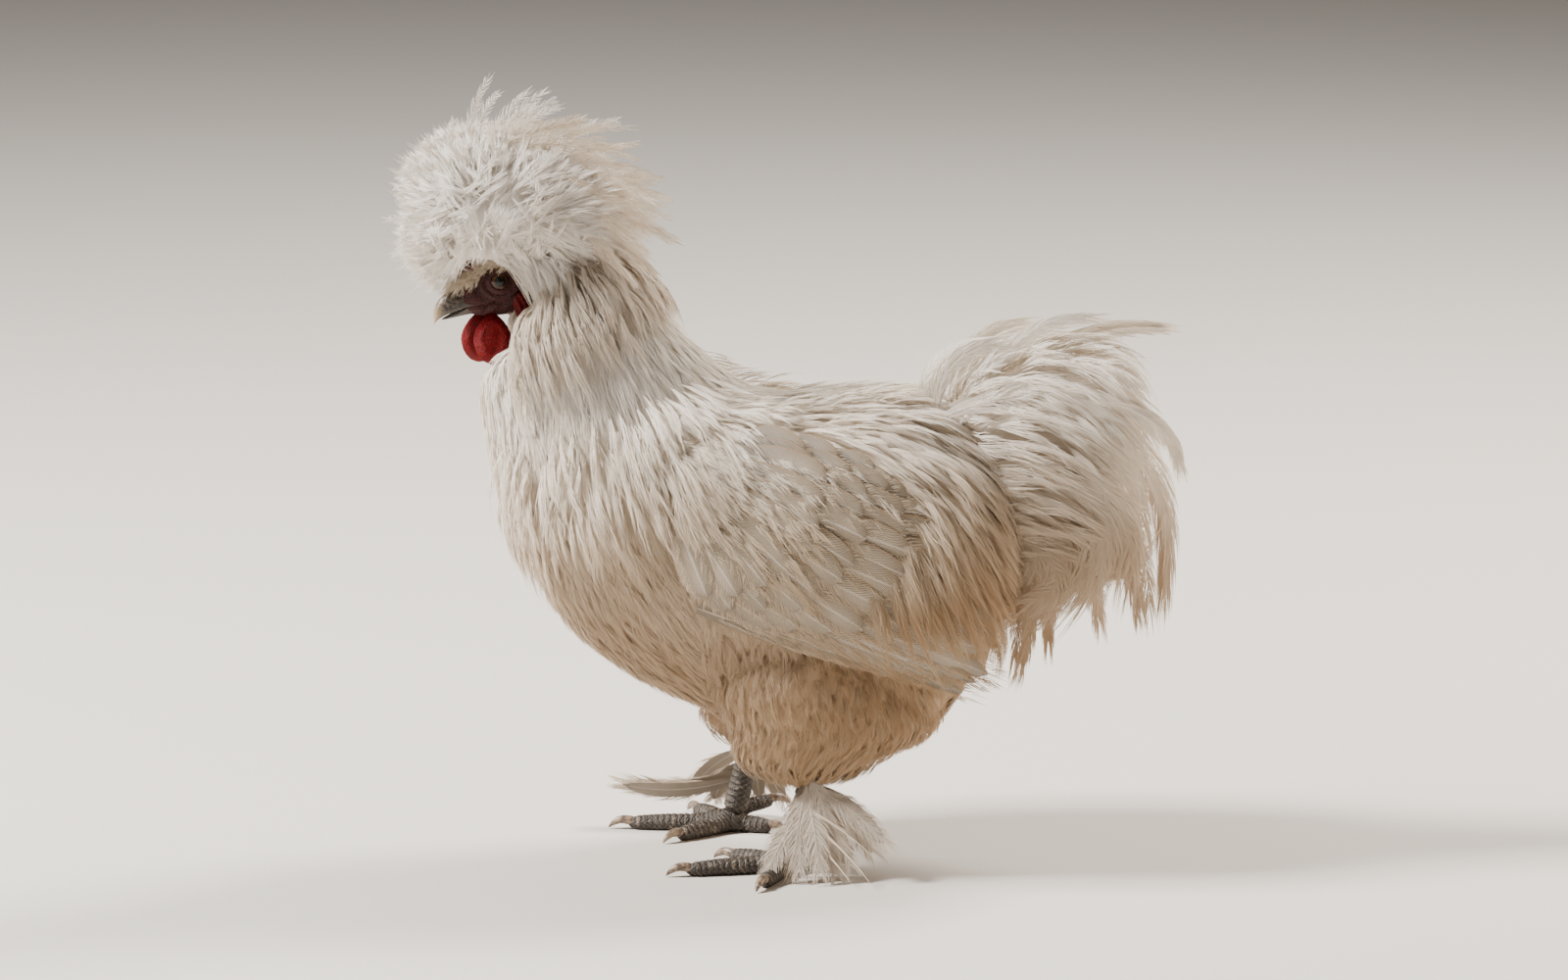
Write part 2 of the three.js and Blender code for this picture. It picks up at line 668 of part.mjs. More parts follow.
function tailShape(share) {
  return (t, a) => {
    const full = fullness(t, 0.2, 0.2) * share;
    const at = t * mix(share, 1, 0.35);
    const [top, low] = [TAIL_TOP(at), TAIL_LOW(at)];
    const rise = (full * fuller(Math.cos(a))) / 2;
    const x = (top.x + low.x) / 2 + (top.x - low.x) * rise;
    const z = (top.y + low.y) / 2 + (top.y - low.y) * rise;
    return point(x, -tailHalf(at) * full * fuller(Math.sin(a)), z);
  };
}

function tailPlume(places, grown = 0) {
  const [root, bend, tip] = places.map((place) => point(...place));
  const points = new THREE.QuadraticBezierCurve3(root, bend, tip).getPoints(3);
  const faces = points.map(() => point(0, -1, 0.2));
  return vane(points, faces, PLUME_WIDE + 2 * grown, VANE + 2 * grown);
}

function makeTail() {
  const next = draw(55);
  const [outer, inner] = [tailShape(1), tailShape(TAIL_CORE)];
  const vanes = TAIL_PLUMES.map((places) => tailPlume(places));
  TAIL_ROWS.forEach(([t, count], row) => {
    for (let i = 0; i < count; i++) {
      const a = (TURN * (i + 0.5 * (row % 2) + 0.3 * (next() - 0.5))) / count;
      const hang = { step: 0.27, reach: 0.9 + 0.08 * next(), droop: 5 };
      const [points, faces] = fromCore(inner, outer, t, a, hang);
      vanes.push(vane(points, faces, TAIL_VANE * (0.9 + 0.2 * next())));
    }
  });
  const core = shell(inner, 12, 12);
  return largest(join([core, ...vanes]).subtract(bodyClear));
}

const tailNode = makeTail();
const plumesClear = join(TAIL_PLUMES.map((places) => tailPlume(places, GAP)));
const tailClear = shell(tailShape(1), 10, 10, GAP).add(plumesClear);

// The neck's own body with its throat, which fills up the space under the jaw,
// and its hackle clear of all that it hangs over.
const throat = lump(point(-111, -1, 241), point(13, 15, 18), 8, 6);

function makeNeck() {
  const front = wholeBody.subtract(behindParting);
  const core = join([front, throat()]).subtract(onBirdSolid(headClear));
  const face = SIDES.flatMap(([, side]) => [lobeOf(side)(GAP), wattleOf(side)(GAP)]);
  const around = [
    onBirdSolid(join([...face, headClear, faceOpening(GAP)])),
    crestGlobe(GAP),
    ...CREST_WISPS.map((tip) => crestWisp(point(...tip), 2 * GAP)),
    wingClear,
    bodyClear.intersect(behindParting),
  ];
  const made = join([core.subtract(onBirdSolid(join(face))), hackle().subtract(join(around))]);
  return largest(made);
}

const neckNode = makeNeck();

// Torso: the rest of the long body, with the saddle's locks over the rump

const SADDLE_ROWS = [
  // where the row's roots are, how many a side, length
  [0.62, 3, 52], [0.69, 4, 58], [0.76, 4, 60], [0.83, 3, 60],
];
const SADDLE_LIFTS = [-3, 6, 12, 13.5];

function makeTorso() {
  const next = draw(33);
  const locks = [];
  SADDLE_ROWS.forEach(([t, count, length], row) => {
    for (let i = 0; i < count; i++) {
      for (const side of [1, -1]) {
        const a = side * (0.1 + (0.9 * (i + 0.4 * (row % 2) + 0.3 * next())) / count);
        const long = length * (0.9 + 0.2 * next());
        const [points, faces] = overSurface(body, t, a, long, 0.42, SADDLE_LIFTS);
        locks.push(lock(points, faces, 15, 3.6));
      }
    }
  });
  const core = wholeBody.subtract(beforeParting);
  const saddle = join(locks).subtract(join([wingClear, tailClear]));
  return largest(join([core, saddle]));
}

const torsoNode = makeTorso();

// Legs: fluffy thighs, scaled shanks, five toes a foot, and foot feathers

function thighOf(side, ahead) {
  const path = line([[8, 120], [10, 100], [14, 82], [19, 64], [11, 50], [7, 41]]);
  const long = values([32, 40, 46, 44, 33, 17]);
  const wide = values([22, 27, 29, 26, 19, 11]);
  return (t, a) => {
    const full = fullness(t, 0.3, 0.16);
    const at = path(t);
    const y = -side * mix(34, STANCE - 2, t);
    return point(
      at.x - ahead + long(t) * full * Math.cos(a),
      y + wide(t) * full * Math.sin(a),
      at.y,
    );
  };
}

// A round bar through points, with a radius at each, closed at both ends.
function bar(points, radii) {
  const path = line(points);
  const radius = values(radii);
  return (t, a) => {
    const e = 0.01;
    const ahead = path(t + e).sub(path(t - e)).normalize();
    const across = ahead.clone().cross(point(0, 0.02, 1)).normalize();
    const up = across.clone().cross(ahead);
    const r = radius(t) * fullness(t, 0.08, 0.12);
    const at = path(t);
    at.addScaledVector(across, r * Math.sin(a)).addScaledVector(up, r * Math.cos(a));
    return at;
  };
}

// Each toe: heading in degrees from straight ahead towards the outside,
// length to the claw's root, and how high its tip is.
const TOES = [
  { name: "inner", heading: -42, length: 33, tip: 0 },
  { name: "middle", heading: 4, length: 48, tip: 0 },
  { name: "outer", heading: 62, length: 36, tip: 0 },
  { name: "hind", heading: 196, length: 19, tip: 0 },
  { name: "fifth", heading: 160, length: 20, tip: 13 },
];
const CLAW = 9;
const SINK = 0.7; // the toes' round undersides are cut flat this deep
const FOOT_TURN = { left: 8, right: 0 };

function footOf(side, name) {
  const middle = point(side > 0 ? 3 : 3 - STRIDE, -side * STANCE, 0);
  const toes = TOES.map((toe) => {
    const turn = radians(toe.heading + FOOT_TURN[name]);
    const way = point(-Math.cos(turn), -side * Math.sin(turn), 0);
    const along = (far, z) => middle.clone().addScaledVector(way, far).setZ(z).toArray();
    const [l, r] = [toe.length, TOE_RADIUS];
    const low = r - SINK;
    const raised = toe.tip > 0;
    const stations = raised
      ? [along(2, 9), along(0.4 * l, 11), along(0.7 * l, 12), along(l, toe.tip)]
      : [along(2, low + 2), along(0.3 * l, low + 0.4), along(0.65 * l, low), along(l, low - 0.5)];
    const radii = raised ? [r, 3.4, 3.2, 2.6] : [r + 1.4, r + 0.1, r - 0.1, r - 0.9];
    const root = raised ? toe.tip : low;
    const claw = [
      along(l - 3, root + 0.4),
      along(l + 0.4 * CLAW, root + 0.9),
      along(l + CLAW, Math.max(0.8, root - 2.4)),
    ];
    return { ...toe, surface: bar(stations, radii), claw: bar(claw, [2.3, 1.7, 0.35]) };
  });
  return { middle, toes };
}

const floor = solid(new THREE.BoxGeometry(900, 900, 100).translate(0, 0, -50));

function shankOf(side, ahead) {
  const top = [13 - ahead, -side * (STANCE - 2), 52];
  const low = [4 - ahead, -side * STANCE, 8];
  const middle = [9 - ahead, -side * (STANCE - 1), 30];
  return bar([top, middle, low], [SHANK_RADIUS + 0.6, SHANK_RADIUS, SHANK_RADIUS + 0.8]);
}

const ANKLE = 15; // height of the cut between shank and foot

function makeLeg(name, side) {
  const ahead = side > 0 ? 0 : STRIDE;
  const thighSurface = thighOf(side, ahead * 0.55);
  const thigh = largest(shell(thighSurface, 11, 14).subtract(join([bodyClear, wingClear])));
  const bone = shell(shankOf(side, ahead), 8, 8);
  const slab = (z, h) => solid(new THREE.BoxGeometry(900, 900, h).translate(0, 0, z));
  const thighClear = shell(thighSurface, 11, 14, GAP);
  const shank = largest(bone.subtract(slab(ANKLE - 50 + GAP / 2, 100)).subtract(thighClear));
  const { middle, toes } = footOf(side, name);
  const pad = lump(middle.clone().setZ(4.6), point(7.5, 7, 5.4), 8, 5)();
  const stump = bone.subtract(slab(ANKLE + 50 - GAP / 2, 100));
  let foot = join([pad, stump, ...toes.map((toe) => shell(toe.surface, 5, 6))]);
  foot = foot.subtract(floor);
  const claws = toes.map((toe) => shell(toe.claw, 4, 5));
  for (const toe of toes) foot = foot.subtract(shell(toe.claw, 4, 5, GAP));
  return { thigh, shank, foot: largest(foot), claws, toes };
}

const legs = SIDES.map(([name, side]) => makeLeg(name, side));

// Foot feathers: a fringe of vanes down the outside of the shank.
const BOOTS = {
  // root height on the shank, heading from ahead to the outside, length, drop,
  // and how far down its middle bends, as a share of the drop
  left: [
    [40, 15, 30, 30, 0.15], [39, 70, 38, 33, 0.15], [37, 125, 40, 33, 0.15],
    [26, 55, 34, 21, 0.15], [40, 152, 44, 22, 0.15],
  ],
  right: [
    [26, 8, 56, 11, 1.3], [36, 45, 44, 24, 0.15], [35, 88, 38, 28, 0.15],
    [34, 135, 36, 26, 0.15], [27, 68, 38, 20, 0.15],
  ],
};

function makeBoot(name, side, leg) {
  const ahead = side > 0 ? 0 : STRIDE;
  const vanes = BOOTS[name].map(([high, heading, length, drop, bow]) => {
    const turn = radians(heading);
    const way = point(-Math.cos(turn), -side * Math.sin(turn), 0);
    const lean = (9 * (high - 8)) / 44; // the shank leans back as it rises
    const root = point(4 - ahead + lean, -side * (STANCE + 5.4), high);
    const reach = Math.sqrt(Math.max(1, length * length - drop * drop));
    const tip = root.clone().addScaledVector(way, reach).setZ(Math.max(1.6, high - drop));
    const bend = root.clone().addScaledVector(way, reach * 0.5).setZ(high - bow * drop);
    const points = new THREE.QuadraticBezierCurve3(root, bend, tip).getPoints(3);
    return vane(points, points.map(() => point(0, -side, 0.6)), 12);
  });
  const cuffLine = [
    [13 - ahead, -side * (STANCE + 3), 44],
    [9 - ahead, -side * (STANCE + 4.5), 30],
    [6 - ahead, -side * (STANCE + 5), 20],
  ];
  const cuff = bar(cuffLine, [3, 4, 3]);
  let made = join([shell(cuff, 5, 6), ...vanes]);
  made = made.subtract(shell(shankOf(side, ahead), 8, 8, GAP));
  made = made.subtract(shell(thighOf(side, ahead * 0.55), 11, 14, GAP));
  for (const toe of leg.toes) {
    made = made.subtract(shell(toe.surface, 5, 6, GAP)).subtract(shell(toe.claw, 4, 5, GAP));
  }
  return largest(made);
}

const boots = SIDES.map(([name, side], i) => makeBoot(name, side, legs[i]));

// Assembly

const FINISH = {
  plumage: new THREE.MeshStandardMaterial({ color: 0xe6e0d6, roughness: 0.85 }),
  quill: new THREE.MeshStandardMaterial({ color: 0xded2c0, roughness: 0.7 }),
  face: new THREE.MeshStandardMaterial({ color: 0x5a2020, roughness: 0.7 }),
  wattle: new THREE.MeshStandardMaterial({ color: 0xb01c24, roughness: 0.5 }),
  horn: new THREE.MeshStandardMaterial({ color: 0x3a322c, roughness: 0.4 }),
  eye: new THREE.MeshStandardMaterial({ color: 0x17100c, roughness: 0.1 }),
  scale: new THREE.MeshStandardMaterial({ color: 0x3f362e, roughness: 0.6 }),
};

// A solid as a three.js mesh with its node's name.
function node(name, made, finish) {
  const { numProp, vertProperties, triVerts } = made.getMesh();
  const places = new Float32Array((vertProperties.length / numProp) * 3);
  for (let i = 0; i < places.length / 3; i++) {
    places.set(vertProperties.subarray(i * numProp, i * numProp + 3), 3 * i);
  }
  const geometry = new THREE.BufferGeometry();
  geometry.setAttribute("position", new THREE.BufferAttribute(places, 3));
  geometry.setIndex(new THREE.BufferAttribute(triVerts, 1));
  geometry.computeVertexNormals();
  const mesh = new THREE.Mesh(geometry, finish);
  mesh.name = name;
  return mesh;
}

const bird = new THREE.Group();
bird.add(headFrame);
headFrame.add(
  node("head", headNode, FINISH.face),
  node("beak_upper", upperBillNode, FINISH.horn),
  node("beak_lower", lowerBillNode, FINISH.horn),
  node("comb", combNode, FINISH.face),
);
SIDES.forEach(([name, side], i) => {
  headFrame.add(
    node("eye_" + name, eyeOf(side)(), FINISH.eye),
    node("wattle_" + name, wattleNodes[i], FINISH.wattle),
    node("earlobe_" + name, lobeNodes[i], FINISH.wattle),
  );
  bird.add(
    node("wing_" + name, wingNodes[i], FINISH.quill),
    node("thigh_" + name, legs[i].thigh, FINISH.plumage),
    node("shank_" + name, legs[i].shank, FINISH.scale),
    node("foot_" + name, legs[i].foot, FINISH.scale),
    node("foot_feathers_" + name, boots[i], FINISH.quill),
  );
  legs[i].claws.forEach((claw, k) =>
    bird.add(node("claw_" + name + "_" + TOES[k].name, claw, FINISH.horn)),
  );
});
bird.add(
  node("crest", crestNode, FINISH.plumage),
  node("neck", neckNode, FINISH.plumage),
  node("torso", torsoNode, FINISH.plumage),
  node("tail", tailNode, FINISH.quill),
);

// The origin goes under the middle of the whole bird, on the floor.
bird.updateMatrixWorld(true);
const extent = new THREE.Box3().setFromObject(bird, true);
const centre = extent.getCenter(point());
bird.position.set(-centre.x, -centre.y, -extent.min.z);

export default bird;
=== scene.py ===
"""A white silkie cock, life size, standing still as a museum model."""

import math

import bpy
import numpy as np
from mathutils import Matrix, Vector


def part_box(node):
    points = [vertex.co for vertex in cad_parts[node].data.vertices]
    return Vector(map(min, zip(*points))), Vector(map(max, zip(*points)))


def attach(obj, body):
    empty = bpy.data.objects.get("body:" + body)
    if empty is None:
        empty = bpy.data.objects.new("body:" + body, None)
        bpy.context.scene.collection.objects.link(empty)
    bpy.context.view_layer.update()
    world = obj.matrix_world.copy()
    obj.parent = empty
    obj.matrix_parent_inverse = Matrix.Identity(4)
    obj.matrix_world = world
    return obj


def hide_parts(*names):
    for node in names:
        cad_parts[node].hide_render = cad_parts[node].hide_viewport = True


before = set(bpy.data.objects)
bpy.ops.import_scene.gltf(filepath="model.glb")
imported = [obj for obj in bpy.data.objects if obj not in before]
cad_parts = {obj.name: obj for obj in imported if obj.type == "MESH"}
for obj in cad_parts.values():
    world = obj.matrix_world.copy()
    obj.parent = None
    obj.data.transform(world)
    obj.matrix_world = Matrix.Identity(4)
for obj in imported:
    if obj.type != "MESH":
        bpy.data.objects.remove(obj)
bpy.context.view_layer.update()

# Camera
# It stands nearly three metres off on the bird's left side, a little above
# its back, and looks at the middle of the body.

AIM = Vector((-0.0035, 0.0013, 0.166))
CAMERA_RISE = math.radians(10)
CAMERA_FAR = 2.8
VIEW_WIDTH = 0.704  # how much of the bird's length the frame holds

camera = bpy.data.objects.new("camera", bpy.data.cameras.new("camera"))
bpy.context.scene.collection.objects.link(camera)
camera.data.sensor_width = 36
camera.data.lens = 36 * CAMERA_FAR / VIEW_WIDTH
looking = Vector((0, math.cos(CAMERA_RISE), -math.sin(CAMERA_RISE)))
camera.location = AIM - CAMERA_FAR * looking
camera.rotation_euler = looking.to_track_quat("-Z", "Y").to_euler()
bpy.context.scene.camera = camera

# Skin
# Pale skin over the neck, trunk and thighs, all in one, which the coat hides.
# It lies inside the plumage by the coat's depth and holds every feather.

# Shapes are drawn in millimetres: the bird faces -X, and its left side -Y.
TAU = 2 * math.pi
HEAD_AT = np.array([-124.0, -1.0, 262.0])
HEAD_YAW = math.radians(15)
HEAD_PITCH = math.radians(16)
EYE_AT = np.array([5.0, 9.6, 2.2])  # the left eye, in the head's own frame
STANCE = 40  # each sole's middle from the bird's middle plane
STRIDE = 27  # how far the right foot stands ahead of the left
COAT_DEPTH = 3.0
SIDES = {"left": 1, "right": -1}


def turned(yaw, pitch):
    """Rows that turn a point of the head's frame: pitch about Y, then yaw about Z."""
    c, s = math.cos(pitch), math.sin(pitch)
    tip = np.array([[c, 0, s], [0, 1, 0], [-s, 0, c]])
    c, s = math.cos(yaw), math.sin(yaw)
    return np.array([[c, -s, 0], [s, c, 0], [0, 0, 1]]) @ tip


HEAD_TURN = turned(math.pi + HEAD_YAW, HEAD_PITCH)


def on_bird(places):
    """Places of the head's frame (bill +X, its left +Y) in the bird's drawing."""
    return places @ HEAD_TURN.T + HEAD_AT


# The drawing's origin in metres, from where the left eye is in the model.
ORIGIN = np.mean(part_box("eye_left"), axis=0) - on_bird(EYE_AT) / 1000


def unit(v):
    """Each vector over its own length."""
    return v / np.maximum(np.linalg.norm(v, axis=-1, keepdims=True), 1e-9)


def line(points):
    """A smooth curve through points, read from 0 to 1 by their order: in each
    stretch a cubic whose end slopes are half the chord of the neighbours."""
    p = np.array(points, float)
    p = np.vstack([2 * p[0] - p[1], p, 2 * p[-1] - p[-2]])

    def read(t):
        t = np.clip(t, 0, 1) * (len(p) - 3)
        i = np.minimum(t.astype(int), len(p) - 4)
        u = (t - i)[..., None]
        a, b, c, d = p[i], p[i + 1], p[i + 2], p[i + 3]
        return b + 0.5 * u * (c - a + u * (2 * a - 5 * b + 4 * c - d + u * (3 * (b - c) + d - a)))

    return read


def values(numbers):
    """A smooth run of single values, read as a line is."""
    read = line([[n] for n in numbers])
    return lambda t: read(t)[..., 0]


def fullness(t, nose, tail):
    """1 along a rounded body, a quarter round down to 0 over each end."""
    short = np.maximum(np.maximum(1 - t / nose, 1 - (1 - t) / tail), 0)
    return np.sqrt(np.maximum(0, 1 - short**2))


def fuller(v):
    """A sine or cosine made a little fuller than an ellipse's."""
    return np.sign(v) * np.abs(v) ** 0.92


# The plumage's back and front lines in the side view, from the head to the
# rump, and half its width on the way.
BACK = line([
    [-97, 272], [-82, 272], [-66, 262], [-45, 237], [-19, 214], [9, 209],
    [35, 210], [58, 209], [76, 203], [90, 187], [97, 165], [98, 146],
])
FRONT = line([
    [-114, 250], [-122, 234], [-136, 220], [-134, 196], [-128, 166], [-115, 134],
    [-94, 102], [-56, 76], [-3, 57], [54, 51], [81, 78], [95, 119],
])
HALF_WIDTH = values([17, 25, 34, 43, 51, 58, 62, 64, 62, 55, 42, 28])


def body(t, a):
    """The plumage's outer form: t from the head (0) to the rump (1), a from
    the back (0) over the left side to the breast (pi). At each t an ellipse
    stands between the back line and the front line."""
    full = fullness(t, 0.05, 0.09)
    top, low = BACK(t), FRONT(t)
    rise = (full * fuller(np.cos(a)) / 2)[..., None]
    middle = (top + low) / 2 + (top - low) * rise
    out = full * HALF_WIDTH(t) * fuller(np.sin(a))
    return np.stack([middle[..., 0], -out, middle[..., 1]], -1)


def outward(shape, t, a):
    """A shape's own run and round at (t, a), and its outward normal: the cross
    of the two, turned away from the point across the shape."""
    e = 1e-3
    run = (shape(t + e, a) - shape(t - e, a)) / (2 * e)
    around = (shape(t, a + e) - shape(t, a - e)) / (2 * e)
    up = unit(np.cross(run, around))
    away = shape(t, a) - shape(t, a + math.pi)
    return run, around, up * np.where(np.sum(up * away, -1, keepdims=True) < 0, -1.0, 1.0)


def inside(shape, depth):
    """The shape drawn in by a depth along its normals, and short of its ends."""
    def drawn_in(t, a):
        at = 0.03 + 0.94 * t
        return shape(at, a) - outward(shape, at, a)[2] * (depth * fullness(t, 0.05, 0.05))[..., None]
    return drawn_in


def thigh(side):
    """One thigh's outer form: t down the thigh, a round it from the front. At
    each t an ellipse stands round a point of the thigh's middle line."""
    path = line([[8, 120], [10, 100], [14, 82], [19, 64], [11, 50], [7, 41]])
    long, wide = values([32, 40, 46, 44, 33, 17]), values([22, 27, 29, 26, 19, 11])
    ahead = 0 if side > 0 else 0.55 * STRIDE

    def shape(t, a):
        full = fullness(t, 0.3, 0.16)
        at = path(t)
        y = -side * (34 + (STANCE - 36) * t)
        return np.stack([
            at[..., 0] - ahead - long(t) * full * np.cos(a),
            y + wide(t) * full * np.sin(a),
            at[..., 1],
        ], -1)

    return shape


def ball(at, half, turn=np.eye(3), relief=None):
    """An egg of half sizes about a place, its poles down and up before it is
    turned, with each point moved by a relief of where it is on a unit ball."""
    def shape(t, a):
        lat = math.pi * t
        p = np.stack([np.sin(lat) * np.cos(a), np.sin(lat) * np.sin(a), -np.cos(lat)], -1)
        q = p if relief is None else relief(p)
        return (q * half) @ turn.T + at
    return shape


def down(shape):
    """The same form read from its other end."""
    return lambda t, a: shape(1 - t, a)


def throat(inward):
    """The chin's plumage behind the wattles, drawn in by a depth."""
    return down(ball(np.array([-109.0, -1, 241]), np.array([16.0, 17, 20]) - inward))


def rings_of(rings, sides):
    """The t and a of each point of a shell: ring by ring, then its poles."""
    t, a = np.meshgrid(np.linspace(0, 1, rings + 1)[1:-1], TAU * np.arange(sides) / sides, indexing="ij")
    return np.append(t.ravel(), [0.0, 1.0]), np.append(a.ravel(), [0.0, 0.0])


def shell(shape, rings, sides):
    """A closed skin over a shape: rings of points between two poles. Where
    its faces enclose less than nothing, they are turned to look outwards."""
    places = shape(*rings_of(rings, sides))
    i, j = np.meshgrid(np.arange(rings - 2), np.arange(sides), indexing="ij")
    here, there = i * sides + j, i * sides + (j + 1) % sides
    quads = np.stack([here, there, there + sides, here + sides], -1).reshape(-1, 4)
    j = np.arange(sides)
    last = (rings - 2) * sides
    first_pole, last_pole = len(places) - 2 + 0 * j, len(places) - 1 + 0 * j
    caps = np.vstack([
        np.stack([(j + 1) % sides, j, first_pole], -1),
        np.stack([last + j, last + (j + 1) % sides, last_pole], -1),
    ])
    off = places - places.mean(0)
    faces = [quads, caps]
    whole = sum(
        np.sum(np.cross(off[f[:, k]], off[f[:, k + 1]]) * off[f[:, 0]])
        for f in faces for k in range(1, f.shape[1] - 1)
    )
    return places, faces if whole > 0 else [f[:, ::-1] for f in faces]


def joined(shells):
    """Several (places, faces) as one, each one's faces counted on."""
    places = np.vstack([p for p, _ in shells])
    starts = np.cumsum([0] + [len(p) for p, _ in shells])
    return places, [f + start for (_, faces), start in zip(shells, starts) for f in faces]


def piece(name, places, faces, finish, uv=None, levels=(), normals=None):
    """An object from places in millimetres and rows of faces, put at the
    origin with its place in its mesh. uv is one pair for each point, levels
    are named numbers, one for each point, that its finish reads, and normals
    are the ways its points face where that isn't their own faces' way."""
    mesh = bpy.data.meshes.new(name)
    mesh.vertices.add(len(places))
    mesh.vertices.foreach_set("co", (places / 1000 + ORIGIN).astype(np.float32).ravel())
    corners = np.concatenate([f.ravel() for f in faces])
    lengths = np.concatenate([np.full(len(f), f.shape[1]) for f in faces])
    mesh.loops.add(len(corners))
    mesh.loops.foreach_set("vertex_index", corners.astype(np.int32))
    mesh.polygons.add(len(lengths))
    mesh.polygons.foreach_set("loop_start", (np.cumsum(lengths) - lengths).astype(np.int32))
    mesh.update(calc_edges=True)
    mesh.polygons.foreach_set("use_smooth", np.ones(len(lengths), bool))
    if uv is not None:
        mesh.uv_layers.new(name="OFBake").uv.foreach_set("vector", uv[corners].astype(np.float32).ravel())
    for level, numbers in dict(levels).items():
        mesh.attributes.new(level, "FLOAT", "POINT").data.foreach_set("value", numbers.astype(np.float32))
    if normals is not None:
        mesh.normals_split_custom_set_from_vertices(normals.astype(np.float32))
    made = bpy.data.objects.new(name, mesh)
    bpy.context.scene.collection.objects.link(made)
    mesh.materials.append(finish)
    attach(made, "root")
    return made


class Level:
    """A number that varies over a surface: sums on it add Math nodes."""

    def __init__(self, tree, socket):
        self.tree, self.socket = tree, socket

    def math(self, operation, *numbers):
        """An operation on some numbers or levels, as a level."""
        node = self.tree.nodes.new("ShaderNodeMath")
        node.operation = operation
        for plug, number in zip(node.inputs, numbers):
            if isinstance(number, Level):
                self.tree.links.new(number.socket, plug)
            else:
                plug.default_value = number
        return Level(self.tree, node.outputs[0])

    def __add__(self, other):
        return self.math("ADD", self, other)

    def __mul__(self, other):
        return self.math("MULTIPLY", self, other)

    def __sub__(self, other):
        return self.math("SUBTRACT", self, other)

    def __rsub__(self, other):
        return self.math("SUBTRACT", other, self)

    __radd__, __rmul__ = __add__, __mul__

    def through(self, operation):
        """The number put through an operation of its own, such as SINE."""
        return self.math(operation, self)

    def held(self):
        """Kept between 0 and 1."""
        return self.math("MINIMUM", self.math("MAXIMUM", self, 0.0), 1.0)

    def between(self, low, high):
        """0 below low and 1 above high, with a soft step from one to the other."""
        node = self.tree.nodes.new("ShaderNodeMapRange")
        node.interpolation_type = "SMOOTHSTEP"
        self.tree.links.new(self.socket, node.inputs["Value"])
        node.inputs["From Min"].default_value = low
        node.inputs["From Max"].default_value = high
        return Level(self.tree, node.outputs["Result"])


class Finish:
    """A material: one shader with its set numbers, and one way to add a node."""

    def __init__(self, name, **numbers):
        self.material = bpy.data.materials.new(name)
        self.material.use_nodes = True
        self.tree = self.material.node_tree
        self.shader = self.tree.nodes["Principled BSDF"]
        for socket, number in numbers.items():
            self.shader.inputs[socket.replace("_", " ")].default_value = number
        self.places = self.add("ShaderNodeTexCoord").outputs["Object"]

    def add(self, kind, settings=None, **sockets):
        """A node of a kind, its settings made first, then its sockets filled."""
        node = self.tree.nodes.new(kind)
        for setting, value in (settings or {}).items():
            setattr(node, setting, value)
        for socket, value in sockets.items():
            self.fill(node.inputs[socket.replace("_", " ")], value)
        return node

    def fill(self, plug, value):
        """Links a level or an output to a socket, or sets the socket's number."""
        if isinstance(value, Level):
            self.tree.links.new(value.socket, plug)
        elif isinstance(value, bpy.types.NodeSocket):
            self.tree.links.new(value, plug)
        else:
            plug.default_value = value

    def level(self, socket):
        """A node's output as a level."""
        return Level(self.tree, socket)

    def axes(self):
        """The surface's own place as three levels, in metres."""
        split = self.add("ShaderNodeSeparateXYZ", Vector=self.places)
        return [self.level(out) for out in split.outputs]

    def grain(self, scale, detail, kind="ShaderNodeTexNoise", stretch=(1, 1, 1)):
        """Cloudy or pebbly grain, scale to the metre, drawn out by stretch."""
        at = self.add("ShaderNodeMapping", Vector=self.places, Scale=stretch).outputs[0]
        return self.level(self.add(kind, Vector=at, Scale=scale, Detail=detail).outputs[0])

    def read(self, name):
        """A level kept on the mesh's points under a name."""
        return self.level(self.add("ShaderNodeAttribute", {"attribute_name": name}).outputs["Fac"])

    def mix(self, share, low, high):
        """From one colour to another by a share."""
        node = self.add("ShaderNodeMix", {"data_type": "RGBA"})
        for plug, value in zip((node.inputs[0], node.inputs[6], node.inputs[7]), (share, low, high)):
            self.fill(plug, value)
        return node.outputs[2]

    def show(self, **sockets):
        """Fills the shader's sockets and gives the finished material."""
        for socket, value in sockets.items():
            self.fill(self.shader.inputs[socket.replace("_", " ")], value)
        return self.material

    def sheer(self, share, colour):
        """Lets a share of the light through, tinted, as thin barbs do."""
        glow, both = self.add("ShaderNodeBsdfTranslucent", Color=colour), self.add("ShaderNodeMixShader")
        for plug, value in zip(both.inputs, (share, self.shader.outputs[0], glow.outputs[0])):
            self.fill(plug, value)
        self.fill(self.tree.nodes["Material Output"].inputs["Surface"], both.outputs[0])

    def bump(self, height, distance):
        """The shader's normal, raised by a level times a distance in metres."""
        node = self.add("ShaderNodeBump", Height=height, Distance=distance)
        self.fill(self.shader.inputs["Normal"], node.outputs[0])


SNOW = (0.90, 0.87, 0.83, 1)
# The next two colours are painted shade: the plumage darker and browner low on the body and behind, where
# less light falls.
CREAM_SHADE = (0.77, 0.66, 0.52, 1)
TAN_SHADE = (0.40, 0.25, 0.128, 1)
# Painted shade at the tufts' roots and on the skin under the coat; also each tuft's random tone.
SHADE_AND_TONE = (0.60, 0.49, 0.37, 1)


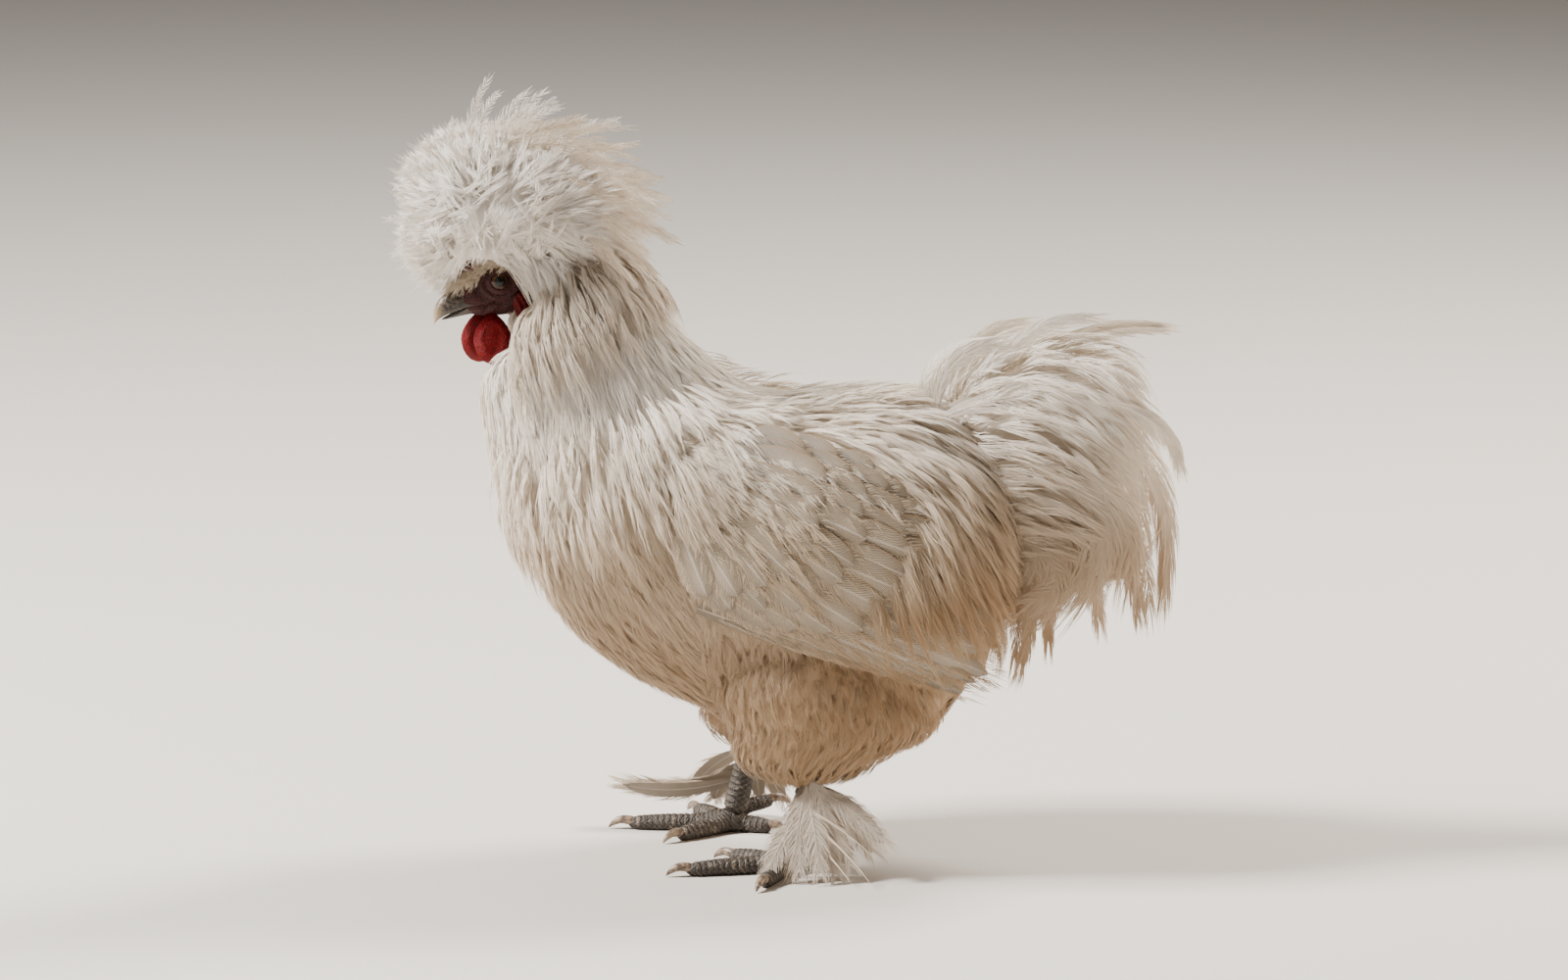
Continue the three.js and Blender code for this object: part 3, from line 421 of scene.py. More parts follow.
def plumage(name, coat=True, white=SNOW, warm_shade=1.0):
    """White plumage with painted shade: it turns cream low on the body and towards
    the rear, and tan beneath it, where less light falls. Each tuft is a little
    lighter or darker at random, and its root is painted darker than its tip, as
    shade deep in the coat."""
    finish = Finish(name, Roughness=0.62, Specular_IOR_Level=0.35, Sheen_Weight=0.25, Sheen_Roughness=0.4)
    x, _, z = finish.axes()
    height = z + (finish.grain(16, 2) - 0.5) * 0.06
    # Painted shade: cream, then tan, mixed in low on the body and towards the rear.
    cream = ((1 - height.between(0.12, 0.24)) + x.between(-0.11, 0.0) * 0.15) * warm_shade
    behind = x.between(-0.02, 0.08) * (1 - height.between(0.11, 0.2))
    tan = ((1 - height.between(0.06, 0.2)) * 0.95 + behind * 0.5) * warm_shade
    colour = finish.mix(cream.held(), white, CREAM_SHADE)
    colour = finish.mix(tan.held(), colour, TAN_SHADE)
    if coat:
        along, tone = finish.read("along"), finish.read("tone")
        # Painted shade: each tuft darker at its root, deep in the coat.
        colour = finish.mix((1 - along.between(0.0, 0.6)) * 0.16, colour, SHADE_AND_TONE)
        colour = finish.mix((tone * 0.36).held(), colour, SHADE_AND_TONE)
        finish.sheer(0.26, (0.88, 0.77, 0.62, 1))
    else:
        # Painted shade: the skin under the coat a little darker than the coat.
        colour = finish.mix(0.12, colour, SHADE_AND_TONE)
        finish.bump(finish.grain(900, 2, stretch=(1, 1, 0.15)), 0.0006)
    return finish.show(Base_Color=colour)


COAT = plumage("plumage_coat")

flesh = joined(
    [shell(inside(body, COAT_DEPTH), 60, 48), shell(throat(5.5), 24, 24)]
    + [shell(inside(thigh(side), COAT_DEPTH), 28, 32) for side in SIDES.values()]
)
skin = piece("skin", *flesh, plumage("plumage_skin", coat=False))
remesh = skin.modifiers.new("one_skin", "REMESH")
remesh.mode = "VOXEL"
remesh.voxel_size = 0.0028
remesh.use_smooth_shade = True
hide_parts("neck", "torso", "thigh_left", "thigh_right")

# Coat of the neck, breast, back and thighs
# Silky feathers without stiff vanes: each has a soft middle and long loose
# barbs that lie together in a pointed tuft, rooted in the skin in thousands.

POINTS = 4  # points along a barb
PATCH = 0.003  # side of a tuft's patch on the unwrap, whose own side is 1
DEEP = np.array([-1.0, -0.62, -0.3, -0.1, 0.0, 0.04])  # a tuft's heights, in coat depths


def roots(shape, count, draw, keep):
    """Root places (t, a) spread over a shape: picks on a fine grid, with odds
    in step with each cell's area and with keep, then shifted at random."""
    rows, sides = 160, 96
    t, a = (np.arange(rows) + 0.5) / rows, TAU * (np.arange(sides) + 0.5) / sides
    t, a = np.meshgrid(t, a, indexing="ij")
    run, around, _ = outward(shape, np.clip(t, 0.01, 0.99), a)
    odds = np.linalg.norm(np.cross(run, around), axis=-1) * keep(t, a, shape(t, a))
    picks = draw.choice(odds.size, count, p=(odds / odds.sum()).ravel())
    t = t.ravel()[picks] + draw.uniform(-0.5, 0.5, count) / rows
    a = a.ravel()[picks] + draw.uniform(-0.5, 0.5, count) * TAU / sides
    return np.clip(t, 0.01, 0.98), a


def square_to(axis, way):
    """A way without its part along an axis."""
    return way - axis * np.sum(way * axis, -1, keepdims=True)


def facing(lines, way):
    """A way square to each line all along it: how a feather's face looks."""
    return unit(square_to(unit(np.gradient(lines, axis=1)), way))


def over(shape, t, a, length, sag, lifts, sway):
    """Middle lines of tufts that lie over a shape, and the way up at each of
    their points. A tuft goes from its root (t, a) along the shape's own run,
    turned to the ground by sag and sideways by sway; lifts are its heights."""
    lines, ups = [], []
    for i in range(lifts.shape[-1]):
        run, around, up = outward(shape, t, a)
        lines.append(shape(t, a) + up * lifts[..., i, None])
        ups.append(up)
        way = unit(run) * (1 - sag)[..., None] + unit(around) * sway[..., None]
        way[..., 2] -= sag
        way = unit(square_to(up, way)) * (length / (lifts.shape[-1] - 1))[..., None]
        rr, ra, aa = (np.sum(p * q, -1) for p, q in ((run, run), (run, around), (around, around)))
        wr, wa = np.sum(way * run, -1), np.sum(way * around, -1)
        whole = rr * aa - ra**2
        t = np.clip(t + (wr * aa - wa * ra) / whole, 0.01, 0.985)
        a = a + (wa * rr - wr * ra) / whole
    return np.stack(lines, -2), np.stack(ups, -2)


def along_lines(lines, ups, u):
    """Places, ways up, ways ahead and ways across at shares u of the lines."""
    last = lines.shape[1] - 1
    at = np.clip(u, 0, 1) * last
    i = np.minimum(at.astype(int), last - 1)
    f = (at - i)[..., None]
    row = np.arange(len(lines))[:, None, None]
    place = lines[row, i] * (1 - f) + lines[row, i + 1] * f
    up = unit(ups[row, i] * (1 - f) + ups[row, i + 1] * f)
    ahead = unit(lines[row, i + 1] - lines[row, i])
    return place, up, ahead, np.cross(ahead, up)


def ribbons(lines, ups, width, draw, along, tone, uv, roll=0.7):
    """Each line as a flat ribbon that narrows to a point. Its two edges stand
    half a width to each side, across the line and rolled about it at random.
    It takes the light as the coat does, so its normals are mostly the ups."""
    n, k = lines.shape[:2]
    ahead = unit(np.gradient(lines, axis=1))
    across = unit(np.cross(ahead, ups))
    up = np.cross(across, ahead)
    turn = draw.uniform(-roll, roll, (n, 1, 1))
    edge = (across * np.cos(turn) + up * np.sin(turn)) * (width / 2)[..., None]
    face = unit(up * np.cos(turn * 0.8) - across * np.sin(turn * 0.8))
    pairs = np.stack([lines[:, :-1] - edge[:, :-1], lines[:, :-1] + edge[:, :-1]], 2).reshape(n, -1, 3)
    places = np.concatenate([pairs, lines[:, -1:]], 1).reshape(-1, 3)
    i = 2 * np.arange(k - 2)[:, None]
    strip = np.concatenate([i + [[0, 1, 3]], i + [[0, 3, 2]]], 0)
    strip = np.vstack([strip, [[2 * k - 4, 2 * k - 3, 2 * k - 2]]])
    faces = (strip[None] + (2 * k - 1) * np.arange(n)[:, None, None]).reshape(-1, 3)
    point = np.append(np.repeat(np.arange(k - 1), 2), k - 1)
    uv, along, face = uv[:, point].reshape(-1, 2), along[:, point].ravel(), face[:, point].reshape(-1, 3)
    return places, faces, uv, along, np.repeat(tone, 2 * k - 1), face


def tufts(lines, ups, count, wide, draw, spot, fine, start=0.5, pinch=0.4, loose=0.25):
    """Soft feathers. Each barb leaves its feather's middle line somewhere in
    its first part, spreads to its own share of the half width, and draws in
    again towards the tip, a little over or under the others."""
    n = len(lines)
    share = draw.uniform(-1, 1, (n, count, 1))
    begin = start * draw.random((n, count, 1)) ** 1.3
    end = 1 - 0.25 * np.abs(share) ** 1.5 - 0.3 * draw.random((n, count, 1))
    v = np.linspace(0, 1, POINTS)
    u = begin + (end - begin) * v
    place, up, _, across = along_lines(lines, ups, u)
    half = np.reshape(wide, (-1, 1, 1))
    fan = half * share * v**0.7 * (1 - pinch * u**2)
    wave = half * 0.12 * np.sin(TAU * (v + draw.random((n, count, 1))))
    rise = half * loose * draw.uniform(-1, 1, (n, count, 1)) * v
    place = place + across * (fan + wave)[..., None] + up * rise[..., None]
    taper = np.array([0.8, 1, 0.75, 0])
    width = fine * taper * draw.uniform(0.7, 1.2, (n, count, 1))
    tone = np.repeat(draw.random(n) ** 2, count) * 0.65 + 0.35 * draw.random(n * count)
    patch = np.stack([(share + 1) / 2 + 0 * u, u], -1) * PATCH + spot[:, None, None]
    flat = lambda v: v.reshape(n * count, POINTS, *v.shape[3:])
    return ribbons(flat(place), flat(up), flat(width), draw, flat(u), tone, flat(patch))


def unwrapped(first, second):
    """Patches' corners on an unwrap, from two shares of its sides."""
    return (1 - PATCH) * np.stack([first, second], -1)


def spots(t, a):
    """Where tufts' roots lie on an unwrap of a shape: round it, and along it."""
    return unwrapped(a / TAU % 1, np.clip(t, 0, 1))


def in_row(count, high, each=1):
    """Roots on an unwrap one after the other at one height, some to each."""
    return unwrapped(np.repeat(np.arange(count), each) / count, np.full(count * each, high))


def coat(name, parts, slot, finish=COAT):
    """One coat piece from several lots of ribbons."""
    starts = np.cumsum([0] + [len(p[0]) for p in parts])
    places, uv, along, tone, normals = (np.concatenate([p[i] for p in parts]) for i in (0, 2, 3, 4, 5))
    faces = np.vstack([p[1] + start for p, start in zip(parts, starts)])
    places = np.maximum(places, [-1e3, -1e3, 0.0])
    made = piece(name, places, [faces], finish, uv, {"along": along, "tone": tone}, normals)


# A folded wing's top and low lines in the side view, from the shoulder back.
WING_TOP = line([[-50, 190], [-42, 200], [-18, 203], [20, 199], [50, 182], [74, 150], [86, 112]])
WING_LOW = line([[-50, 176], [-45, 152], [-28, 132], [2, 121], [32, 109], [58, 96], [78, 90]])


def under_wing(places):
    """1 where a place lies well under a folded wing, 0 elsewhere."""
    t = np.linspace(0, 1, 60)
    top, low = WING_TOP(t), WING_LOW(t)
    x, z = places[..., 0], places[..., 2]
    high = np.interp(x, top[:, 0], top[:, 1]) - 12
    deep = np.interp(x, low[:, 0], low[:, 1]) + 10
    return (x > -40) & (x < 62) & (z < high) & (z > deep) & (np.abs(places[..., 1]) > 25)


# An egg round both wattles in the head's own frame: its middle and half sizes.
WATTLES_CLEAR = [15, 0, -24], [11, 13, 15]


def in_head(places):
    """Places on the bird back in the head's own frame."""
    return (places - HEAD_AT) @ HEAD_TURN


def outside(places, middle, half):
    """1 where a place of the head's frame is outside an egg of half sizes."""
    return np.sum(((places - middle) / half) ** 2, -1) > 1


def off_wattles(lines):
    """1 for the tufts whose middle line stays clear of both wattles."""
    return outside(in_head(lines), *WATTLES_CLEAR).all(1)


def flank(places):
    """1 where a place is on the flank, between a folded wing and the thigh."""
    low = WING_LOW(np.linspace(0, 1, 60))
    x, z = places[..., 0], places[..., 2]
    wing = np.interp(x, low[:, 0], low[:, 1]) + 10
    return (x > -36) & (x < 72) & (z < wing) & (np.abs(places[..., 1]) > 16)


def in_the_open(places):
    """1 where a place is neither well under a wing nor on the flank."""
    return ~under_wing(places) & ~flank(places)


# Tufts' lengths down the body, on its back, its sides and its front.
BACK_LONG = values([22, 32, 38, 38, 34, 34, 40, 52, 62, 62, 56, 44])
SIDE_LONG = values([20, 30, 36, 38, 34, 28, 26, 34, 48, 54, 50, 40])
FRONT_LONG = values([14, 22, 26, 28, 26, 24, 22, 22, 22, 24, 28, 30])


def body_tufts(count, barbs, seed, wide, pinch, keep):
    """Tufts over the body where keep is 1: long on the back, short in front,
    and hanging more the farther they are from the breast."""
    draw = np.random.default_rng(seed)
    t, a = roots(body, count, draw, keep)
    cos = np.cos(a)
    back, front = np.maximum(cos, 0), np.maximum(-cos, 0)
    long = BACK_LONG(t) * back + FRONT_LONG(t) * front + SIDE_LONG(t) * (1 - back - front)
    long = long * draw.uniform(0.75, 1.15, count)
    sag = np.clip(0.62 - 0.45 * front - 0.3 * back + draw.normal(0, 0.06, count), 0, 0.95)
    depth = COAT_DEPTH * fullness(t, 0.12, 0.1) + 0.8
    lifts = depth[:, None] * DEEP + draw.uniform(-0.8, 1.6, count)[:, None] * np.linspace(0, 1, 6) ** 1.5
    lines, ups = over(body, t, a, long, sag, lifts, draw.normal(0, 0.12, count))
    clear = off_wattles(lines)
    halves = wide * draw.uniform(0.7, 1.3, clear.sum())
    return tufts(lines[clear], ups[clear], barbs, halves, draw, spots(t, a)[clear], 0.44, pinch=pinch)


ZONES = {
    # how many tufts, barbs in each, seed, half width, how pointed, and where on the body
    "neck_left": (1950, 16, 11, 2.6, 0.42, lambda t, a, p: (t < 0.42) & (np.sin(a) > -0.15)),
    "neck_right": (860, 14, 12, 2.5, 0.62, lambda t, a, p: (t < 0.42) & (np.sin(a) < 0.15)),
    "breast": (1650, 14, 13, 3.3, 0.12,
               lambda t, a, p: (t > 0.36) & (t < 0.76) & (np.cos(a) < 0.2) & in_the_open(p)),
    "back": (1080, 15, 14, 2.4, 0.75,
             lambda t, a, p: (t > 0.36) & (t < 0.9) & (np.cos(a) > 0) & ~under_wing(p)),
    "rump": (900, 14, 15, 2.6, 0.4, lambda t, a, p: (t > 0.68) & (np.cos(a) < 0.3) & in_the_open(p)),
}
for zone, settings in ZONES.items():
    coat("coat_" + zone, [body_tufts(*settings)], "body_plumage")


def fluff(shape, count, seed, hang, stand, keep):
    """Short fine down over a shape, lying along it and towards the ground."""
    draw = np.random.default_rng(seed)
    t, a = roots(shape, count, draw, keep)
    lifts = 3.6 * DEEP + (stand + draw.uniform(-0.8, 1.4, count))[:, None] * np.linspace(0, 1, 6)
    long, sway = draw.uniform(11, 19, count), draw.normal(0.1, 0.2, count)
    lines, ups = over(shape, t, a, long, np.full(count, hang), lifts, sway)
    return tufts(lines, ups, 12, draw.uniform(1.6, 2.8, count), draw, spots(t, a), 0.34)


# How many tufts are on each thigh, under it and on the flank.
FLUFF = {"left": (1540, 240, 900), "right": (800, 160, 450)}
for name, side in SIDES.items():
    thick, hanging, on_flank = FLUFF[name]
    coat("coat_thigh_" + name, [
        fluff(thigh(side), thick, 20 + side, 0.2, 0.0, lambda t, a, p: t > 0.12),
        fluff(thigh(side), hanging, 28 + side, 0.85, 3.0, lambda t, a, p: (t > 0.78) & (t < 0.95)),
        fluff(body, on_flank, 24 + side, 0.8, 3.0, lambda t, a, p: flank(p) & (np.sin(a) * side > 0)),
    ], "leg_plumage")


def throat_tufts(count, seed):
    """Short tufts behind the wattles, from the chin down to the hackle."""
    draw = np.random.default_rng(seed)
    t, a = roots(throat(0), count, draw, lambda t, a, p: p[..., 0] < -96)
    long, sway = draw.uniform(12, 20, count), draw.normal(0, 0.15, count)
    lines, ups = over(throat(0), t, a, long, np.full(count, 0.3), 5 * DEEP + 0 * t[:, None], sway)
    clear = off_wattles(lines)
    return tufts(lines[clear], ups[clear], 13, 2.1, draw, spots(t, a)[clear], 0.34)


coat("coat_throat", [throat_tufts(420, 31)], "body_plumage")

# Wings
# Two folded wings of firm cream vanes that overlap like tiles: long flight
# feathers below, and four tiers of shorter ones over them.

WING_HOLD = 46  # a folded wing's inner face is at least this far out
WING_TIERS = [
    # how many, half width, depth in the wing at root and tip, roots, tips
    (7, 4.6, (0.2, 0.5), [[-38, 124], [-16, 122], [6, 124]], [[34, 99], [62, 91], [80, 83], [88, 92]]),
    (13, 6.5, (0.3, 0.6), [[-20, 130], [4, 134], [20, 148], [28, 172]],
     [[60, 94], [86, 90], [92, 108], [86, 130], [72, 152], [54, 172]]),
    (12, 7.5, (0.35, 0.74), [[-40, 140], [-16, 152], [4, 168], [10, 188]],
     [[-6, 116], [32, 116], [52, 136], [55, 160], [40, 182]]),
    (11, 7.5, (0.4, 0.86), [[-44, 152], [-24, 164], [-8, 178], [0, 195]],
     [[-22, 124], [12, 126], [32, 146], [36, 170], [24, 188]]),
    (10, 7.5, (0.45, 0.98), [[-47, 164], [-36, 176], [-26, 188], [-16, 199]],
     [[-34, 132], [-6, 136], [14, 156], [18, 178], [10, 192]]),
]


def half_width_at(x, z):
    """Half the body's width at a place in the side view: on the section that
    passes through the place, the ellipse's half width there, or 0 outside."""
    t = np.linspace(0, 1, 121)[1:]
    top, low = BACK(t), FRONT(t)
    rise = top - low
    off = rise[:, 0] * (z[..., None] - low[:, 1]) - rise[:, 1] * (x[..., None] - low[:, 0])
    d0, d1 = off[..., :-1], off[..., 1:]
    at = t[:-1] + np.clip(d0 / np.where(d0 == d1, 1, d0 - d1), 0, 1) / 120
    top, low = BACK(at), FRONT(at)
    middle = (top + low) / 2
    far = np.hypot(x[..., None] - middle[..., 0], z[..., None] - middle[..., 1])
    share = 2 * far / np.linalg.norm(top - low, axis=-1)
    wide = HALF_WIDTH(at) * fullness(at, 0.05, 0.09) * np.sqrt(np.maximum(0, 1 - share ** (2 / 0.92)))
    return np.max(np.where((d0 * d1 <= 0) & (share < 1), wide, 0), axis=-1)


def wing_hold(x, z):
    """How far out a folded wing's inner face lies: the body's half width
    there, eased into the least hold where the body is narrower."""
    over_hold = (half_width_at(x, z) - WING_HOLD) / 6
    return WING_HOLD + 6 * np.log1p(np.exp(np.minimum(over_hold, 30)))


def wing_deep(x):
    """The folded wing's thickness, less towards its tips."""
    return np.clip(12 - 5 * (x + 40) / 110, 7, 12)


def wing_core(side):
    """The wing under its vanes: between its top and low lines, rounded out to
    under half of the wing's thickness."""
    def shape(t, a):
        full = fullness(t, 0.14, 0.12)
        top, low = WING_TOP(t), WING_LOW(t)
        rise = (full * 0.86 * fuller(np.cos(a)) / 2)[..., None]
        middle = (top + low) / 2 + (top - low) * rise
        out = fuller(np.sin(a)) * full
        deep = np.where(out > 0, wing_deep(middle[..., 0]) * 0.45 * out, 4 * out)
        y = -side * (wing_hold(middle[..., 0], middle[..., 1]) + deep)
        return np.stack([middle[..., 0], y, middle[..., 1]], -1)
    return shape


def wing_lines(side, draw):
    """Each vane's middle line, from its tier's line of roots to its line of
    tips, bowed up a little, and rising from its root to its tip's depth."""
    lines, halves = [], []
    u = np.linspace(0, 1, 12)[:, None]
    for count, half, deep, root_line, tip_line in WING_TIERS:
        share = np.arange(count) / (count - 1)
        start, end = line(root_line)(share), line(tip_line)(share)
        end = end + draw.uniform(-2, 2, end.shape)
        x = start[:, 0] + (end[:, 0] - start[:, 0]) * u
        z = start[:, 1] + (end[:, 1] - start[:, 1]) * u + 10 * u * (1 - u) * share
        out = wing_hold(x, z) + wing_deep(x) * (deep[0] + (deep[1] - deep[0]) * u**0.4)
        lines.append(np.stack([x, -side * out, z], -1).transpose(1, 0, 2))
        halves.append(np.full(count, half) * draw.uniform(0.9, 1.1, count))
    return np.concatenate(lines), np.concatenate(halves)


def vane_half(u):
    """A stiff vane's half width along it: slim at the root, rounded at the tip."""
    swell = 0.5 + 0.5 * np.sin(np.minimum(1, u / 0.55) * math.pi / 2)
    return swell * np.sqrt(np.maximum(0, 1 - np.maximum(0, (u - 0.62) / 0.38) ** 2.4))


def vane_sheets(lines, ups, halves, tilt, thick):
    """Firm vanes as thin closed sheets: across each middle line two leaves
    bowed down to their edges, which meet all round; tilt lifts one edge. Its
    levels are how far along and how far across its vane each point lies."""
    n = len(lines)
    u, s = np.meshgrid(np.linspace(0, 1, 22), np.linspace(-1, 1, 9), indexing="ij")
    at = np.broadcast_to(u.reshape(1, -1, 1), (n, u.size, 1))
    place, up, _, across = (v[:, :, 0] for v in along_lines(lines, ups, at))
    half = halves[:, None] * vane_half(u.ravel())
    share = s.ravel()
    high = half * (tilt * share - 0.1 * share**2) + 0.25 * np.exp(-((share / 0.12) ** 2))
    face = place + across * (half * share)[..., None] + up * high[..., None]
    back = face - up * (thick * np.sqrt(np.maximum(0, 1 - share**2)))[..., None]
    rows, cols = u.shape
    i, j = np.meshgrid(np.arange(rows - 1), np.arange(cols - 1), indexing="ij")
    k = (i * cols + j).ravel()
    quads = np.stack([k, k + 1, k + cols + 1, k + cols], -1)
    starts = 2 * u.size * np.arange(n)[:, None, None]
    faces = [(quads + starts).reshape(-1, 4), (quads[:, ::-1] + u.size + starts).reshape(-1, 4)]
    places = np.concatenate([face, back], 1).reshape(-1, 3)
    return places, faces, {"along": np.tile(u.ravel(), 2 * n), "across": np.tile(share, 2 * n)}


def plumes(lines, ups, count, halves, draw, spot, fine, reach, ragged, hang=0, outline=vane_half, inner=0):
    """Open feathers: barbs leave the middle line on both sides at even steps,
    sweep forwards by reach while they go out to the vane's edge, and hang
    towards the ground by hang. Some end short, so the edge is ragged. They
    show from the share inner of the half width outwards."""
    n = len(lines)
    long = np.linalg.norm(np.diff(lines, axis=1), axis=-1).sum(1)
    order = np.arange(count)[None, :, None]
    begin = 0.03 + 0.95 * (order // 2 + draw.random((n, count, 1))) / (count / 2)
    side = np.where(order % 2 == 0, 1.0, -1.0)
    clump = np.sin(begin * 40 + TAU * draw.random((n, 1, 1))) * 0.25
    v = np.linspace(inner, 1, POINTS)
    u = begin + (reach * (1 - 0.4 * begin)) * v * (1 + clump * v)
    place, up, ahead, across = along_lines(lines, ups, u)
    short = 1 - ragged * draw.random((n, count, 1)) ** 1.5
    half = np.reshape(halves, (-1, 1, 1)) * np.maximum(outline(begin), 0.12)
    out = half * short * np.sin(v * 1.45)
    past = np.maximum(u - 1, 0) * long[:, None, None]
    rise = (draw.normal(0, 0.05, (n, count, 1)) - 0.1) * out
    place = place + across * (side * out)[..., None] + ahead * past[..., None] + up * rise[..., None]
    place[..., 2] -= hang * out * v
    taper = np.array([0.9, 1, 0.75, 0])
    width = fine * taper * draw.uniform(0.7, 1.2, (n, count, 1))
    tone = np.repeat(draw.random(n), count) * 0.6 + 0.4 * draw.random(n * count)
    patch = np.stack([(side * v + 1) / 2 + 0 * u, np.clip(u, 0, 1)], -1) * PATCH + spot[:, None, None]
    along = 0.35 + 0.65 * v + 0 * u
    flat = lambda p: p.reshape(n * count, POINTS, *p.shape[3:])
    return ribbons(flat(place), flat(up), flat(width), draw, flat(along), tone, flat(patch), roll=0.5)


def shafts(lines, ups, width, draw, spot, tone=0.0):
    """The middle quills of feathers, as narrow ribbons along their lines."""
    n, k = lines.shape[:2]
    widths = width * np.linspace(1, 0.15, k) * np.ones((n, 1))
    patch = np.stack([np.full((n, k), PATCH / 2), np.linspace(0, PATCH, k) + np.zeros((n, 1))], -1)
    patch = patch + spot[:, None]
    return ribbons(lines + ups * 0.25, ups, widths, draw, np.ones((n, k)), np.full(n, tone), patch, roll=0.1)


def vane_finish(name, shade):
    """Cream vanes painted a darker grey-brown as shade, with fine slanting barb
    lines: painted shade darker still near the root, under the vane before it,
    and along the edge that the next vane shades, tan at the rim, and a paler
    shaft down the middle."""
    finish = Finish(name, Roughness=0.5, Specular_IOR_Level=0.4, Sheen_Weight=0.15)
    along, across = finish.read("along"), finish.read("across")
    wide = across.through("ABSOLUTE")
    barb = (along * 260 + wide * -52).through("SINE")
    cloud = finish.grain(60, 3)
    # Painted shade: a mottled grey-brown, far darker than the white plumage, as on a folded wing in shade.
    colour = finish.mix(cloud.between(0.35, 0.7) * 0.5, (0.50, 0.41, 0.31, 1), (0.37, 0.275, 0.185, 1))
    # Painted shade near the root, which lies under the vane before it.
    colour = finish.mix((1 - along.between(0.1, 0.8)) * 0.5 * shade, colour, (0.28, 0.22, 0.16, 1))
    # Painted shade along the edge that the next vane covers.
    colour = finish.mix((across * -1.0).between(0.1, 1.0) * 0.4 * shade, colour, (0.24, 0.18, 0.12, 1))
    colour = finish.mix(wide.between(0.8, 1.0) * 0.7 * shade, colour, (0.42, 0.27, 0.15, 1))
    colour = finish.mix((1 - wide.between(0.03, 0.1)) * 0.8, colour, (0.80, 0.74, 0.66, 1))
    finish.bump(barb * 0.5 + cloud * 0.4, 0.0003)
    return finish.show(Base_Color=colour)


VANE = vane_finish("vane", 1.0)
# Painted shade: the wing's plumage darker and browner than the body's, as the folded wing lies in shade.
SHADED_WING_COAT = plumage("plumage_wing_painted_shade", white=(0.53, 0.445, 0.355, 1), warm_shade=0.8)


def wing_spots(lines):
    """Where feathers' roots lie on an unwrap of the wing: along it and up it."""
    return unwrapped((lines[:, 0, 0] + 60) / 160, (lines[:, 0, 2] - 70) / 150)


CORE_LEVELS = {"along": 0.3, "across": 0.5}  # the core is coloured as a vane is there
for name, side in SIDES.items():
    draw = np.random.default_rng(40 + side)
    lines, halves = wing_lines(side, draw)
    ups = unit(np.broadcast_to(np.array([0, -side, 0.13]), lines.shape))
    *sheets, levels = vane_sheets(lines, ups, halves, -0.15 * side, 0.5)
    core = shell(wing_core(side), 30, 28)
    levels = {level: np.append(v, np.full(len(core[0]), CORE_LEVELS[level])) for level, v in levels.items()}
    vanes = piece("vanes_" + name, *joined([sheets, core]), VANE, levels=levels)
    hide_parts("wing_" + name)
    spot = wing_spots(lines)
    barbed = plumes(lines + 0.35 * ups, ups, 130, halves * 1.1, draw, spot, 0.26, 0.24, 0.25, inner=0.45)
    coat("wing_barbs_" + name, [barbed, shafts(lines, ups, 0.7, draw, spot)], "wing_plumage", SHADED_WING_COAT)

# Shoulder and saddle
# Soft plumage again: a cushion over each wing's shoulder, and long silky
# saddle feathers that fall from the back over the wings' rear.


def shoulder(side, seed, count):
    """Tufts over the front of a folded wing, which lie back along it."""
    draw = np.random.default_rng(seed)
    t, a = draw.uniform(0.02, 0.56, count) ** 1.25, draw.uniform(-0.35, 2.8, count)
    full_wing = lambda t, a: wing_core(side)(t, a) + np.array([0, -side * 5.0, 0])
    lifts = 4 * DEEP + 1 + draw.uniform(0, 1.6, count)[:, None] * np.linspace(0, 1, 6)
    long, sway = draw.uniform(18, 30, count), draw.normal(0, 0.1, count)
    lines, ups = over(full_wing, t, a, long, np.full(count, 0.45), lifts, sway)
    return tufts(lines, ups, 13, draw.uniform(2, 3.4, count), draw, spots(t, a), 0.4)


def draped(count, seed, long, rise, sag, keep):
    """Tufts of the body that stand up from it by a rise, clear of the wings
    and the tail's root, and hang over them. Those on the sides rise most."""
    draw = np.random.default_rng(seed)
    t, a = roots(body, count, draw, keep)
    aside = np.abs(np.sin(a))
    hang = np.clip(sag + 0.3 * aside + draw.normal(0, 0.06, count), 0, 0.9)
    lifts = np.array(rise, float) * np.clip(0.35 + 0.8 * aside, 0, 1)[:, None]
    lifts = lifts + draw.uniform(-1, 2, count)[:, None]
    lengths = draw.uniform(*long, count) * (0.75 + 0.25 * aside)
    lines, ups = over(body, t, a, lengths, hang, lifts, draw.normal(0, 0.08, count))
    halves = 3.0 * draw.uniform(0.7, 1.3, count)
    return tufts(lines, ups, 15, halves, draw, spots(t, a), 0.4, pinch=0.75)


for name, side in SIDES.items():
    coat("coat_shoulder_" + name, [
        shoulder(side, 50 + side, 560),
        draped(230, 54 + side, (30, 42), [-4, 3, 8, 11, 12.5, 13], 0.2,
               lambda t, a, p: (t > 0.3) & (t < 0.42) & (np.sin(a) * side > 0.45)),
    ], "body_plumage")
coat("coat_saddle", [
    draped(720, 60, (34, 62), [-4, 2, 7, 11, 12, 12.5], 0.45,
           lambda t, a, p: (t > 0.7) & (t < 0.94) & (np.cos(a) > 0.1)),
    draped(300, 61, (26, 44), [-4, 1, 4, 6, 8, 9], 0.15,
           lambda t, a, p: (t > 0.4) & (t < 0.72) & (np.cos(a) > 0.45)),
], "body_plumage")

# Tail
# A cushion of down under soft shredded plumes, which arch up over the rump
# and fall behind, each with a thin shaft and long loose barbs.

TAIL_TOP = line([[60, 202], [80, 236], [114, 253], [148, 248], [166, 226], [173, 196]])
TAIL_LOW = line([[80, 150], [100, 100], [122, 104], [148, 112], [168, 128], [174, 176]])
TAIL_HALF = values([32, 44, 46, 40, 28, 15])


